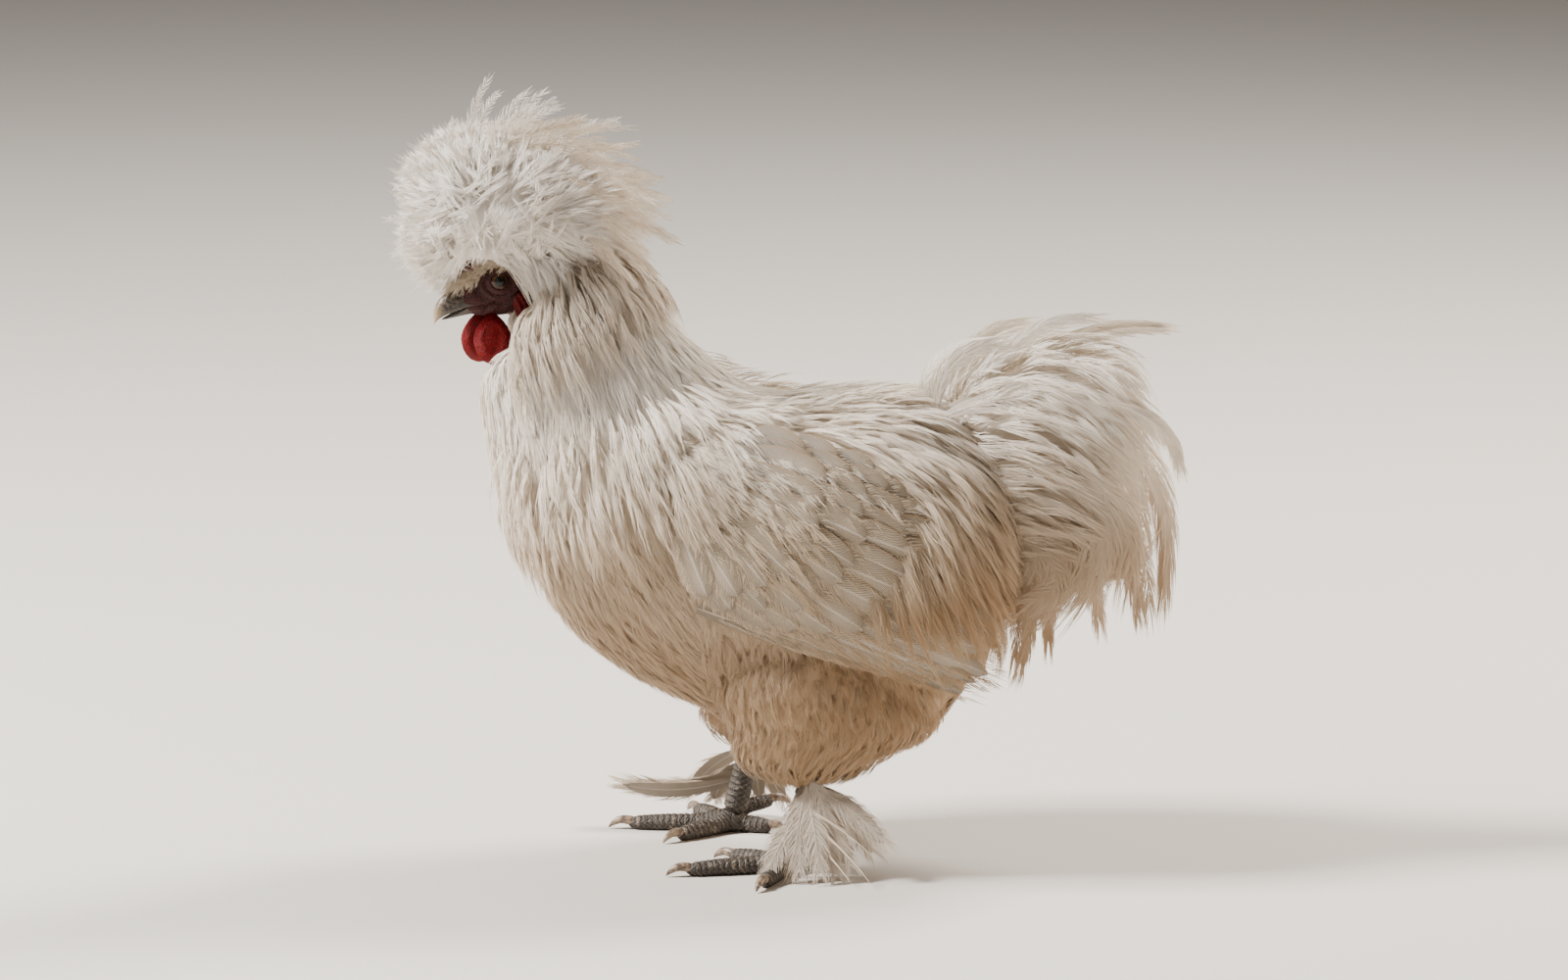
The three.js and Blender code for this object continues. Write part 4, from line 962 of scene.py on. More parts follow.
def tail(share):
    """The tail's form, drawn between its top and low lines as the body is,
    and filled to a share of its height, width and length."""
    def shape(t, a):
        full = fullness(t, 0.2, 0.2) * share
        at = t * (share + (1 - share) * 0.35)
        top, low = TAIL_TOP(at), TAIL_LOW(at)
        middle = (top + low) / 2 + (top - low) * (full * fuller(np.cos(a)) / 2)[..., None]
        return np.stack([middle[..., 0], -TAIL_HALF(at) * full * fuller(np.sin(a)), middle[..., 1]], -1)
    return shape


def arcs(root, way, tip, points=9):
    """Arched lines: from each root along its first way, then over to its tip,
    as a quadratic curve whose handle is the root moved by the way."""
    u = np.linspace(0, 1, points)[:, None]
    handle = (root + way)[:, None]
    return root[:, None] * (1 - u) ** 2 + handle * 2 * u * (1 - u) + tip[:, None] * u**2


TAIL_EDGE = line([
    [96, 236], [122, 245], [142, 243], [157, 230], [166, 212], [170, 192], [171, 170],
    [170, 146], [163, 126], [152, 118], [138, 108], [121, 102], [104, 100], [92, 96],
])
TAIL_ARCHES = np.array([
    # a long plume's place where it leaves the tail, where it bends, and its tip
    [66, -8, 194, 59, -8, 236, 94, -8, 236], [78, 8, 196, 80, 8, 238, 110, 6, 240],
    [88, -4, 206, 100, -4, 247, 136, -2, 245], [112, 4, 226, 144, 5, 240, 169, 6, 238],
    [130, -10, 212, 165, -12, 212, 177, -12, 182], [138, 4, 190, 176, 4, 186, 171, 2, 119],
    [132, -14, 172, 158, -16, 150, 160, -16, 114], [122, 12, 166, 140, 14, 140, 143, 14, 105],
    [108, -4, 166, 120, -4, 130, 119, -4, 99], [100, -12, 170, 112, -24, 120, 105, -26, 93],
    [96, 12, 170, 101, 20, 114, 91, 20, 90],
], float)


def plume_ups(lines, out):
    """The way each plume's face looks: up and to its own side of the tail."""
    return facing(lines, np.stack([0 * out, 3 * out + 0.01, 0 * out + 1], -1)[:, None])


def tail_plumes(count, seed):
    """Plumes by share from the tail's top edge round its end to its underside.
    Each goes out towards the edge, bends there, and falls on along it."""
    draw = np.random.default_rng(seed)
    share = draw.random(count) ** 0.9
    out = draw.uniform(-1, 1, count)
    out = np.sign(out) * np.abs(out) ** 0.7
    middle = np.array([98, 184])
    reach = draw.uniform(0.5, 0.88, count)[:, None] ** 0.8
    bend = middle + (TAIL_EDGE(share * 0.8) - middle) * reach * 1.06
    end = np.minimum(1, share * 0.8 + draw.uniform(0.12, 0.26, count))
    tip = middle + (TAIL_EDGE(end) - middle) * reach
    root = np.stack([
        66 + 26 * share + draw.uniform(-8, 8, count), 26 * out, 196 - 42 * share + draw.uniform(-8, 8, count),
    ], -1)
    side = 40 * out * (1 - 0.5 * np.abs(tip[:, 0] - 110) / 70)
    spread = lambda p: np.stack([p[:, 0], side, p[:, 1]], -1)
    lines = arcs(root, spread(bend) - root, spread(tip))
    return lines, plume_ups(lines, out), unwrapped((out + 1) / 2, share), draw


def tail_arches(each, seed):
    """The long plumes that make the tail's outline, a few to each arch."""
    draw = np.random.default_rng(seed)
    arches = len(TAIL_ARCHES)
    start, bend, tip = np.split(np.repeat(TAIL_ARCHES, each, 0), 3, axis=1)
    spread = draw.normal(0, 1, (len(start), 3)) * [1.8, 4.5, 1.8]
    lines = arcs(start + spread * 1.5, bend - start, tip + spread * draw.uniform(0.2, 1, (len(start), 1)))
    lines[:, :, 0] = np.minimum(lines[:, :, 0], 176)
    out = start[:, 1] / 14 + spread[:, 1] / 10
    spot = unwrapped(np.clip(0.5 + out / 4, 0, 1), np.repeat(np.arange(arches), each) / arches)
    return lines, plume_ups(lines, out), spot, draw


TAIL_COAT = plumage("plumage_tail", warm_shade=0.75)
TAIL_SKIN = plumage("plumage_tail_down", coat=False, warm_shade=0.75)
cushion = piece("tail_down", *shell(tail(0.5), 28, 28), TAIL_SKIN)
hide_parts("tail")


def loose_half(u):
    """A loose plume's half width: full from its first third, to a soft tip."""
    return np.minimum(1, 0.35 + 2 * u) * (1 - 0.55 * np.maximum(0, u - 0.4) / 0.6)


def tail_feathers(laid, slim, broad, reach, ragged, hang, quill):
    """Loose plumes along lines that were laid, from slim to broad, and their
    shafts as wide as a quill."""
    lines, ups, spot, draw = laid
    halves = draw.uniform(slim, broad, len(lines))
    return [
        plumes(lines, ups, 130, halves, draw, spot, 0.38, reach, ragged, hang, loose_half),
        shafts(lines, ups, quill, draw, spot),
    ]


wide_ones = tail_feathers(tail_plumes(115, 71), 6, 11, 0.34, 0.5, 0.25, 0.6)
long_ones = tail_feathers(tail_arches(4, 73), 3.5, 6, 0.3, 0.6, 0.35, 0.7)
coat("tail_plumes", wide_ones + long_ones, "tail_plumage", TAIL_COAT)


def tail_tufts(count, seed):
    """Soft tufts over the cushion, from its root up and over to its end."""
    draw = np.random.default_rng(seed)
    shape = tail(0.8)
    t, a = roots(shape, count, draw, lambda t, a, p: t < 0.66)
    lifts = 10 * DEEP + draw.uniform(-1, 3, count)[:, None] * np.linspace(0, 1, 6)
    sag = 0.3 + 0.3 * t + 0 * a
    lines, ups = over(shape, t, a, draw.uniform(30, 50, count), sag, lifts, draw.normal(0, 0.1, count))
    return tufts(lines, ups, 15, draw.uniform(2.4, 4.4, count), draw, spots(t, a), 0.42, pinch=0.6)


coat("coat_tail", [tail_tufts(600, 72)], "tail_plumage", TAIL_COAT)

# Legs
# Dark scaled shanks and toes, five to a foot, with blunt horn claws. Broad
# scutes lie across the toes' tops, and pebbled skin under them.

TOES = {
    # heading from ahead to the outside, length to the claw, its tip's height
    "inner": (-42, 33, 0),
    "middle": (4, 48, 0),
    "outer": (62, 36, 0),
    "hind": (196, 19, 0),
    "fifth": (160, 20, 13),
}
TOE_RADIUS = 4
SINK = 0.7  # how deep a toe's bar would go into the floor, where it is flat
CLAW_LONG = 9
FOOT_TURN = {"left": 8, "right": 0}  # degrees to the outside


def bar(points, radii, relief=None):
    """A round bar along a smooth line of points, with a radius at each: rings
    square to the line, rounded off at both ends, raised by a relief."""
    path, radius = line(points), values(radii)

    def shape(t, a):
        e = 0.01
        ahead = unit(path(t + e) - path(t - e))
        across = unit(np.cross(ahead, np.array([0, 0.02, 1.0])))
        up = np.cross(across, ahead)
        r = radius(t) * fullness(t, 0.08, 0.12)
        if relief is not None:
            r = r * (1 + relief(t, a))
        return path(t) + across * (r * np.sin(a))[..., None] + up * (r * np.cos(a))[..., None]

    return shape


def scutes(count):
    """Broad scales: across the top a saw of low steps along the bar, and
    small pebbles round its sides and underside."""
    def relief(t, a):
        step = (t * count) % 1
        top = np.clip(1.4 * np.cos(a) + 0.5, 0, 1)
        saw = 0.13 * step**0.6 * (1 - np.maximum(0, (step - 0.8) / 0.2) ** 2) - 0.05
        pebble = 0.045 * np.sin(t * count * 2.2 * math.pi) * np.sin(a * 9)
        return top * saw + (1 - top) * pebble
    return relief


def foot_parts(name, side):
    """One foot's toes and shank as closed bars, and its claws, on the floor."""
    ahead = 0 if side > 0 else STRIDE
    middle = np.array([3.0 - ahead, -side * STANCE, 0])
    bars, ridges, claws = [], [], []
    for heading, long, high in TOES.values():
        turn = math.radians(heading + FOOT_TURN[name])
        way = np.array([-math.cos(turn), -side * math.sin(turn), 0])
        at = lambda far, z: middle + way * far + np.array([0, 0, z])
        low = TOE_RADIUS - SINK
        if high:
            points = [at(2, 9), at(0.4 * long, 11), at(0.7 * long, 12), at(long, high)]
            radii, low = [4, 3.4, 3.2, 2.6], high
        else:
            points = [at(2, low + 2), at(0.3 * long, low + 0.4), at(0.65 * long, low), at(long, low - 0.5)]
            radii = [5.4, 4.1, 3.9, 3.1]
        plates = scutes(long / 2.6)
        bars.append(shell(bar(points, radii, plates), 90, 28))
        ridges.append(plates(*rings_of(90, 28)))
        tip = [
            at(long - 3, low + 0.4), at(long + 0.3 * CLAW_LONG, low + 1.1),
            at(long + 0.75 * CLAW_LONG, low - 0.6), at(long + CLAW_LONG, max(0.5, low - 2.8)),
        ]
        claws.append(shell(bar(tip, [2.3, 1.9, 1.2, 0.25]), 24, 16))
    shank = [
        [13 - ahead, -side * (STANCE - 2), 52],
        [9 - ahead, -side * (STANCE - 1), 30],
        [4 - ahead, -side * STANCE, 8],
    ]
    plates = scutes(15)
    bars.append(shell(bar(shank, [5.6, 5, 5.8], plates), 120, 36))
    ridges.append(plates(*rings_of(120, 36)))
    bars.append(shell(ball(middle + [0, 0, 4.6], np.array([7.5, 7, 5.4])), 20, 30))
    ridges.append(np.zeros(len(rings_of(20, 30)[0])))
    return joined(bars), np.concatenate(ridges), joined(claws)


def on_floor(part):
    """A part with nothing under the floor: its sole pressed flat on it."""
    places, faces = part
    return np.maximum(places, [-1e3, -1e3, 0.0]), faces


def scale_finish():
    """Dark scaly skin, dusty on the scales' faces and dark between them."""
    finish = Finish("leg_scales", Roughness=0.6)
    cell = finish.grain(1100, 0, "ShaderNodeTexVoronoi")
    cloud = finish.grain(260, 4)
    ridge = finish.read("ridge").between(-0.04, 0.06)
    share = ridge * 0.8 + cell.between(0.1, 0.6) * -0.3 + 0.1
    colour = finish.mix(share, (0.016, 0.012, 0.009, 1), (0.125, 0.095, 0.07, 1))
    colour = finish.mix(cloud.between(0.52, 0.72) * ridge * 0.7, colour, (0.33, 0.265, 0.20, 1))
    finish.bump((1 - cell) + cloud * 0.4, 0.0005)
    return finish.show(Base_Color=colour, Roughness=cloud * 0.3 + 0.42)


def claw_finish():
    """Brown horn, streaked along and a little glossy."""
    finish = Finish("claw_horn", Roughness=0.4)
    streak = finish.grain(500, 3)
    colour = finish.mix(streak.between(0.35, 0.65), (0.10, 0.065, 0.045, 1), (0.33, 0.24, 0.17, 1))
    finish.bump(streak, 0.0002)
    return finish.show(Base_Color=colour)


SCALES, CLAW_HORN = scale_finish(), claw_finish()
for name, side in SIDES.items():
    foot, ridge, claws = foot_parts(name, side)
    leg = piece("leg_" + name, *on_floor(foot), SCALES, levels={"ridge": ridge})
    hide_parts("shank_" + name, "foot_" + name)
    horn = piece("claws_" + name, *on_floor(claws), CLAW_HORN)
    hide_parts(*["claw_" + name + "_" + toe for toe in TOES])

# Foot feathers
# A fringe of soft vanes down the outside of each shank: a white fan with a
# few bare quills on the left foot, long forward-curling vanes on the right.

BOOTS = {
    # root's height on the shank, heading from ahead to the outside, length, drop, bow
    "left": [
        (40, 15, 30, 30, 0.15), (39, 70, 38, 33, 0.15), (37, 125, 40, 33, 0.15), (26, 55, 34, 21, 0.15),
        (40, 152, 44, 22, 0.15), (42, 95, 34, 32, 0.15), (40, 45, 34, 32, 0.15), (36, 105, 38, 30, 0.15),
        (34, 140, 38, 27, 0.15), (38, 162, 40, 26, 0.15), (30, 85, 32, 25, 0.15), (44, 130, 30, 26, 0.15),
    ],
    "right": [
        (26, 8, 56, 7, 2.0), (36, 45, 44, 24, 0.15), (35, 88, 38, 28, 0.15), (34, 135, 36, 26, 0.15),
        (27, 68, 38, 20, 0.15), (28, 10, 52, 8, 1.8), (24, 5, 54, 5, 2.0), (39, 110, 32, 28, 0.15),
        (30, 60, 36, 22, 0.15),
    ],
}
QUILLS = np.array([
    # from and to, of the bare ones
    [17, -58, 22, 39, -77, 2], [14, -56, 30, 41, -70, 12], [12, -55, 18, 30, -74, 2],
], float)
BOOT_COAT = plumage("plumage_foot", warm_shade=0.3)
BOOT_VANE = vane_finish("foot_vane", 0.25)


def boot(name, side):
    """Each vane's line: out from the shank's outer side, level at first, and
    down to just over the floor, with its way up."""
    high, heading, long, drop, bow = np.array(BOOTS[name], float).T
    ahead = 0 if side > 0 else STRIDE
    turn = np.radians(heading)
    way = np.stack([-np.cos(turn), -side * np.sin(turn), 0 * turn], -1)
    root = np.stack([4 - ahead + 9 * (high - 8) / 44, 0 * high - side * (STANCE + 5.4), high], -1)
    reach = np.sqrt(np.maximum(1, long**2 - drop**2))[:, None]
    tip = root + way * reach
    tip[:, 2] = np.maximum(1.8, high - drop)
    bend = way * reach * 0.5
    bend[:, 2] = -bow * drop
    lines = arcs(root, bend, tip)
    return lines, facing(lines, np.array([0, -side, 0.6]))


for name, side in SIDES.items():
    draw = np.random.default_rng(80 + side)
    lines, ups = boot(name, side)
    spot = in_row(len(lines), 0.5)
    *sheets, levels = vane_sheets(lines, ups, np.full(len(lines), 4.2), 0.0, 0.4)
    web = piece("foot_vanes_" + name, *sheets, BOOT_VANE, levels=levels)
    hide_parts("foot_feathers_" + name)
    halves = np.full(len(lines), 7.5)
    parts = [
        plumes(lines + 0.3 * ups, ups, 200, halves, draw, spot, 0.34, 0.34, 0.6, outline=loose_half),
        shafts(lines + 0.2 * ups, ups, 0.8, draw, spot),
    ]
    if name == "left":
        bare = arcs(QUILLS[:, :3], (QUILLS[:, 3:] - QUILLS[:, :3]) * 0.5 + [0, 0, 3.0], QUILLS[:, 3:])
        parts.append(shafts(bare, np.array([0, -1.0, 0]) + 0 * bare, 1.3, draw, spot[: len(bare)], 2.5))
    coat("foot_barbs_" + name, parts, "foot_plumage", BOOT_COAT)

# Face
# Bare red skin, pebbled, from the bill to the ears, with a soft orbit and two
# thin lids round each eye. It is drawn in the head's own frame.

HEAD_LONG = values([-23, -19, -10, 0, 8, 15, 20, 23])
HEAD_TOP = values([5, 10, 14.5, 15.5, 13.5, 9.5, 6, 3.5])
HEAD_LOW = values([-6, -12, -15, -15.5, -14.5, -12.5, -10, -8.5])
HEAD_HALF = values([7, 10.5, 13.5, 14.3, 12.8, 9.6, 6.8, 5])
EYE_RADIUS = 6.0


def bell(v, width):
    """1 at v = 0, falling off softly on both sides over a width."""
    return np.exp(-((v / width) ** 2))


def pebbles(p, size):
    """Small pebbled relief: crossed waves of a size, each bent by the other."""
    x, y, z = (TAU / size * p[..., k] for k in range(3))
    return np.sin(x + 1.3 * np.sin(0.8 * z + y)) * np.sin(z + 1.1 * np.sin(0.9 * x - y))


def face_relief(p):
    """Folds of the face: a ring raised round the eye in a shallow orbit, a
    full cheek, the mouth's corner, creases down the jaw, and pebbles."""
    x, z = p[..., 0], p[..., 2]
    eye = np.hypot((x - EYE_AT[0]) / 1.12, z - EYE_AT[2])
    orbit = 0.7 * bell(eye - 7.4, 1.2) - 1.1 * bell(eye - 9.8, 1.6)
    cheek = 1.2 * bell(x + 4, 7) * bell(z + 6, 5)
    mouth = -1.3 * bell(z + 6.7 - 0.12 * (x - 17), 0.8) * np.clip((x - 6) / 4, 0, 1)
    crease = 0.35 * np.sin(1.5 * z + 0.9 * x) * bell(z + 9, 5)
    side = np.clip(np.abs(p[..., 1]) / 5 - 0.4, 0, 1)
    return side * (orbit + cheek + mouth + crease) + 0.14 * pebbles(p, 1.9)


def head_section(t, a):
    """The head's form without its relief: at each t from behind to the bill,
    an ellipse stands between the top and the low line."""
    full = fullness(t, 0.1, 0.06)
    top, low = HEAD_TOP(t), HEAD_LOW(t)
    z = (top + low) / 2 + (top - low) / 2 * full * np.cos(a)
    return np.stack([HEAD_LONG(t), HEAD_HALF(t) * full * np.sin(a), z], -1)


def face(t, a):
    """The head's form, raised by the relief."""
    place = head_section(t, a)
    return place + unit(place * [0.5, 1, 1]) * face_relief(place)[..., None]


def about_eye(side, angle, turn, radius):
    """Places about an eye's middle: at an angle off the axis it looks along,
    turned round the axis, at a radius."""
    out = unit(np.array([0.10, side, 0.04]))
    fore = unit(np.cross(out, [0, 0, 1.0]))
    high = np.cross(fore, out)
    off = fore * np.cos(turn)[..., None] + high * np.sin(turn)[..., None]
    way = out * np.cos(angle)[..., None] + off * np.sin(angle)[..., None]
    return EYE_AT * [1, side, 1] + way * radius[..., None]


def lids(side):
    """Both lids as one closed rim: rings of a rounded section carried round
    the eye's axis, the opening a little wider than high, with fine folds."""
    a, s = np.meshgrid(TAU * np.arange(72) / 72, TAU * np.arange(22) / 22, indexing="ij")
    opening = 0.76 - 0.11 * np.sin(a) ** 2 + 0.05 * np.sin(a)
    angle = opening + 0.33 * (1 - np.cos(s))
    swell = np.where(np.sin(s) > 0, 0.75, 0.5) * np.sin(s)
    radius = EYE_RADIUS + 0.15 + swell + 0.1 * np.sin(angle * 38) * (np.sin(s) > 0)
    places = about_eye(side, angle, a if side > 0 else math.pi - a, radius).reshape(-1, 3)
    i, j = np.meshgrid(np.arange(72), np.arange(22), indexing="ij")
    k = lambda i, j: (i % 72) * 22 + j % 22
    quads = np.stack([k(i, j), k(i + 1, j), k(i + 1, j + 1), k(i, j + 1)], -1).reshape(-1, 4)
    return places, [quads if side > 0 else quads[:, ::-1]]


def skin_finish(name, deep, bright, rough, cells=1500, shine=0.4, mottle=1.0):
    """Bare red skin: bright on its pebbles and deep between them, mottled."""
    finish = Finish(
        name, Roughness=rough, Specular_IOR_Level=shine,
        Subsurface_Weight=0.12, Subsurface_Radius=(0.004, 0.001, 0.0006), Subsurface_Scale=0.5,
    )
    cell = finish.grain(cells, 0, "ShaderNodeTexVoronoi")
    cloud = finish.grain(220, 4)
    colour = finish.mix(cell.between(0.15, 0.7) * mottle, bright, deep)
    colour = finish.mix(cloud.between(0.45, 0.75) * (0.6 * mottle), colour, deep)
    finish.bump((1 - cell) + cloud * 0.8, 0.0004)
    return finish.show(Base_Color=colour)


def to_bird(part):
    """A part of the head's frame, placed on the bird."""
    return on_bird(part[0]), part[1]


FACE_SKIN = skin_finish("face_skin", (0.015, 0.003, 0.003, 1), (0.088, 0.012, 0.010, 1), 0.5, shine=0.25)
face_part = joined([shell(face, 150, 180)] + [lids(side) for side in SIDES.values()])
bare_face = piece("face", *to_bird(face_part), FACE_SKIN)
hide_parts("head")

# Eyes
# Glossy dark balls: a black pupil in a dark red-brown ring, under a clear
# bulging front, held by the lids.


def eyeball(side):
    """A ball round the eye's axis, with a low bulge in front."""
    def shape(t, a):
        angle = math.pi * t
        return about_eye(side, angle, a, EYE_RADIUS - 0.15 + 0.35 * bell(angle, 0.5))
    return shape


eye_finish = Finish("eye", Roughness=0.1, Coat_Weight=0.15, Coat_Roughness=0.03, Specular_IOR_Level=0.25)
ring = eye_finish.read("ring")
flecks = eye_finish.grain(1600, 4)
iris = eye_finish.mix(flecks.between(0.35, 0.7), (0.03, 0.012, 0.007, 1), (0.075, 0.03, 0.013, 1))
eye_colour = eye_finish.mix(ring.between(0.24, 0.28), (0.002, 0.002, 0.002, 1), iris)
eye_colour = eye_finish.mix(ring.between(0.40, 0.46), eye_colour, (0.012, 0.007, 0.005, 1))
eye_finish.show(Base_Color=eye_colour)
for name, side in SIDES.items():
    off = 2 * rings_of(40, 48)[0]  # each point's angle off the eye's axis, in quarter turns
    globe = to_bird(shell(eyeball(side), 40, 48))
    eye = piece("eyeball_" + name, *globe, eye_finish.material, levels={"ring": off})
    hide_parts("eye_" + name)

# Bill
# A short stout bill of dark horn in two halves, worn tan at the hooked tip,
# with a slit nostril under a flap on each side.

MOUTH_X = values([9, 15, 21, 27, 32, 35.4, 37.2])
MOUTH_Z = values([-7.2, -6.4, -6, -6.2, -6.8, -8, -9.6])
BILL_TOP = values([6.5, 6, 4.6, 2.8, 0.2, -3.6, -8.8])
BILL_HALF = values([7, 6.6, 5.8, 4.8, 3.6, 2.2, 0.9])
LOWER_TOP = values([-7.2, -6.4, -6, -6.2, -7, -7.8, -8.4])
LOWER_LOW = values([-12, -11.6, -10.8, -10, -9.6, -9.2, -8.8])
NOSTRIL = (22.5, -0.4)


def upper_bill(t, a):
    """An arch over the mouth line with a ridge along its top; the nostril is
    a slit pressed in on each side, with a swelling over it."""
    full = fullness(t, 0.03, 0.08)
    sole = MOUTH_Z(t) + 0.15
    tall = np.cos(a)
    crown = (BILL_TOP(t) - sole) * full * np.maximum(tall, 0) ** 0.8
    wide = BILL_HALF(t) * full * np.sin(a)
    place = np.stack([MOUTH_X(t), wide, sole + crown + 0.02 * np.minimum(tall, 0)], -1)
    x, z = place[..., 0] - NOSTRIL[0], place[..., 2] - NOSTRIL[1]
    slit = bell(x + 0.4 * z, 2.3) * bell(z - 0.12 * x, 0.7)
    flap = bell(x + 1, 2.6) * bell(z - 1.6, 1.3)
    side = np.clip(np.abs(place[..., 1]) / 2 - 0.5, 0, 1) * np.maximum(tall, 0) ** 0.3
    growth = 0.05 * np.sin(place[..., 0] * 3.1)
    place[..., 1] += np.sign(place[..., 1]) * side * (0.45 * flap - 1.5 * slit + growth)
    return place


def lower_bill(t, a):
    """A shallow trough under the mouth line, shorter than the upper half."""
    full = fullness(t, 0.03, 0.1)
    roof = LOWER_TOP(t) - 0.15
    depth = (roof - LOWER_LOW(t)) * full * np.maximum(-np.cos(a), 0) ** 0.9
    at = 0.86 * t
    wide = BILL_HALF(at) * 0.86 * full * np.sin(a)
    return np.stack([9 + 28.2 * at, wide, roof - depth], -1)


def bill_finish():
    """Dark horn in fine layers along the bill, tan where it is worn, and
    paler still at the tip."""
    finish = Finish("beak_horn", Specular_IOR_Level=0.5)
    along = finish.read("along")
    streak = finish.grain(420, 4, stretch=(1, 1, 2.2))
    worn = along.between(0.74, 1.02) + (streak - 0.5) * 0.5
    colour = finish.mix(streak.between(0.3, 0.7), (0.022, 0.018, 0.015, 1), (0.085, 0.066, 0.05, 1))
    colour = finish.mix(worn.held() * 0.9, colour, (0.42, 0.30, 0.19, 1))
    finish.bump(streak, 0.0002)
    return finish.show(Base_Color=colour, Roughness=streak * 0.25 + 0.25)


BILL_HORN = bill_finish()
for name, shape in {"beak_upper": upper_bill, "beak_lower": lower_bill}.items():
    places, faces = shell(shape, 90, 64)
    along = np.clip((places[:, 0] - 9) / 28.2, 0, 1)
    half = piece("horn_" + name, on_bird(places), faces, BILL_HORN, levels={"along": along})
    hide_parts(name)

# Comb, wattles and lobes
# Soft red skin: a small walnut comb under the crest, two rounded wattles that
# hang from the jaw, and folded lobes behind the face.


def swung(about_x, about_y):
    """Rows that turn a place about Y and then about X, in degrees."""
    c, s = math.cos(math.radians(about_y)), math.sin(math.radians(about_y))
    lean = np.array([[c, 0, s], [0, 1, 0], [-s, 0, c]])
    c, s = math.cos(math.radians(about_x)), math.sin(math.radians(about_x))
    return np.array([[1, 0, 0], [0, c, -s], [0, s, c]]) @ lean


def wattle_relief(p):
    """A leaf drawn in to its stalk at the top, thick at its edge and hollow
    in its middle, and pebbled all over."""
    narrow = 1 - 0.34 * np.clip(p[..., 2], 0, 1) ** 1.5
    edge = np.hypot(p[..., 0], p[..., 2])
    thick = 0.86 + 0.35 * bell(edge - 0.72, 0.22) + 0.05 * np.sin(7 * p[..., 0] + 3 * p[..., 2])
    q = p * np.stack([narrow, thick, np.ones_like(narrow)], -1)
    return q * (1 + 0.022 * pebbles(p, 0.17))[..., None]


def lobe_relief(p):
    """A leaf with two deep folds down its length."""
    fold = 0.62 + 0.5 * np.cos(TAU * (p[..., 0] * 0.95 + 0.08 * np.sin(3 * p[..., 2]))) ** 2
    folded = p * np.stack([np.ones_like(fold), fold, np.ones_like(fold)], -1)
    return folded * (1 + 0.03 * pebbles(p, 0.3))[..., None]


WATTLE_SKIN = skin_finish("wattle_skin", (0.05, 0.0, 0.001, 1), (0.30, 0.0, 0.003, 1), 0.4, 2200, 0.18, 0.8)
LOBE_SKIN = skin_finish("lobe_skin", (0.03, 0.001, 0.001, 1), (0.18, 0.004, 0.005, 1), 0.42, 2000, 0.2, 0.8)
for name, side in SIDES.items():
    at, half = np.array([16.2 - 1.6 * side, 6.2 * side, -22.8]), np.array([8.6, 3.6, 11.4])
    leaf = ball(at, half, swung(7 * side, -14), wattle_relief)
    wattle = piece("wattle_leaf_" + name, *to_bird(shell(leaf, 90, 90)), WATTLE_SKIN)
    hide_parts("wattle_" + name)
    at, half = np.array([-2.5, 13.2 * side, -14]), np.array([5, 2.4, 9.2])
    leaf = ball(at, half, swung(-10 * side, 10), lobe_relief)
    lobe = piece("lobe_" + name, *to_bird(shell(leaf, 70, 80)), LOBE_SKIN)
    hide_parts("earlobe_" + name)

# each bulb's middle and radius
BULBS = [((17.5, 0, 7.6), 4.2), ((14, 3.2, 10), 3.9), ((13.5, -3.4, 10.2), 3.9), ((10, 0, 12.6), 4.4)]
COMB_SKIN = skin_finish("comb_skin", (0.05, 0.006, 0.012, 1), (0.2, 0.025, 0.035, 1), 0.5)
bulb = lambda p: p * (1 + 0.05 * pebbles(p, 0.5))[..., None]
bulbs = joined([
    shell(ball(np.array(at), np.array([1.1, 1, 0.8]) * r, relief=bulb), 30, 36) for at, r in BULBS
])
comb = piece("comb_bulbs", *to_bird(bulbs), COMB_SKIN)
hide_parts("comb")

# Crest
# A globe of long silky feathers on the crown. From a soft whorl on each side
# they go out all round, over the face too; loose ones leave the globe.

CREST_AT = np.array([-118.0, -1.0, 290.0])
CREST_REACH = np.array([51.5, 41.0, 38.0])
WHORL = np.array([-129.0, 295.0])
RIM = line([
    # from over the bill up the front, over the top, down the back, and on
    # along the face's upper edge
    [-163, 250], [-175, 266], [-176, 290], [-162, 318], [-136, 333], [-108, 335], [-82, 325],
    [-64, 304], [-58, 282], [-62, 262], [-76, 246], [-94, 242], [-104, 250], [-106, 262],
    [-112, 271], [-124, 274], [-136, 270], [-146, 262], [-154, 253], [-163, 250],
])
# How far the form goes on past its rim, at the same places.
PAST = values([1.2] + 9 * [1.35] + [1.3, 1.1] + 6 * [1] + [1.1, 1.2])


def crest(side):
    """The globe's outer form on one side: t out from the whorl to the rim and
    past it, a round the rim. It is fuller in front, drawn in towards the
    face, and lumpy with locks."""
    def shape(t, a):
        s = a / TAU % 1
        far = RIM(s)
        near = WHORL + 0.12 * (far - WHORL)
        t = (t * PAST(s))[..., None]
        bend = (near + far) / 2 + [0.0, 4.0]
        flat = near * (1 - t) ** 2 + bend * 2 * t * (1 - t) + far * t**2
        q = (flat - CREST_AT[[0, 2]]) / CREST_REACH[[0, 2]]
        rho = np.maximum(1e-6, np.linalg.norm(q, axis=-1))
        turn = 1.2 * rho + 0.37 * rho**3
        x, z = (np.sin(turn) / rho * q[..., k] for k in range(2))
        y = -side * np.cos(turn)
        fuller_front = 1 + 0.2 * np.maximum(0, -x) * np.abs(z) * 2
        lump = np.sin(9 * x + 4 * z) * np.sin(8 * y - 5 * z + 2) + 0.6 * np.sin(15 * x - 9 * y + 7 * z)
        size = fuller_front * (0.91 + 0.022 * lump)
        slim = 0.62 + 0.38 * np.clip((z + 0.95) / 0.85, 0, 1)
        return CREST_AT + CREST_REACH * np.stack([x * size, y * size * slim, z * size], -1)

    return shape


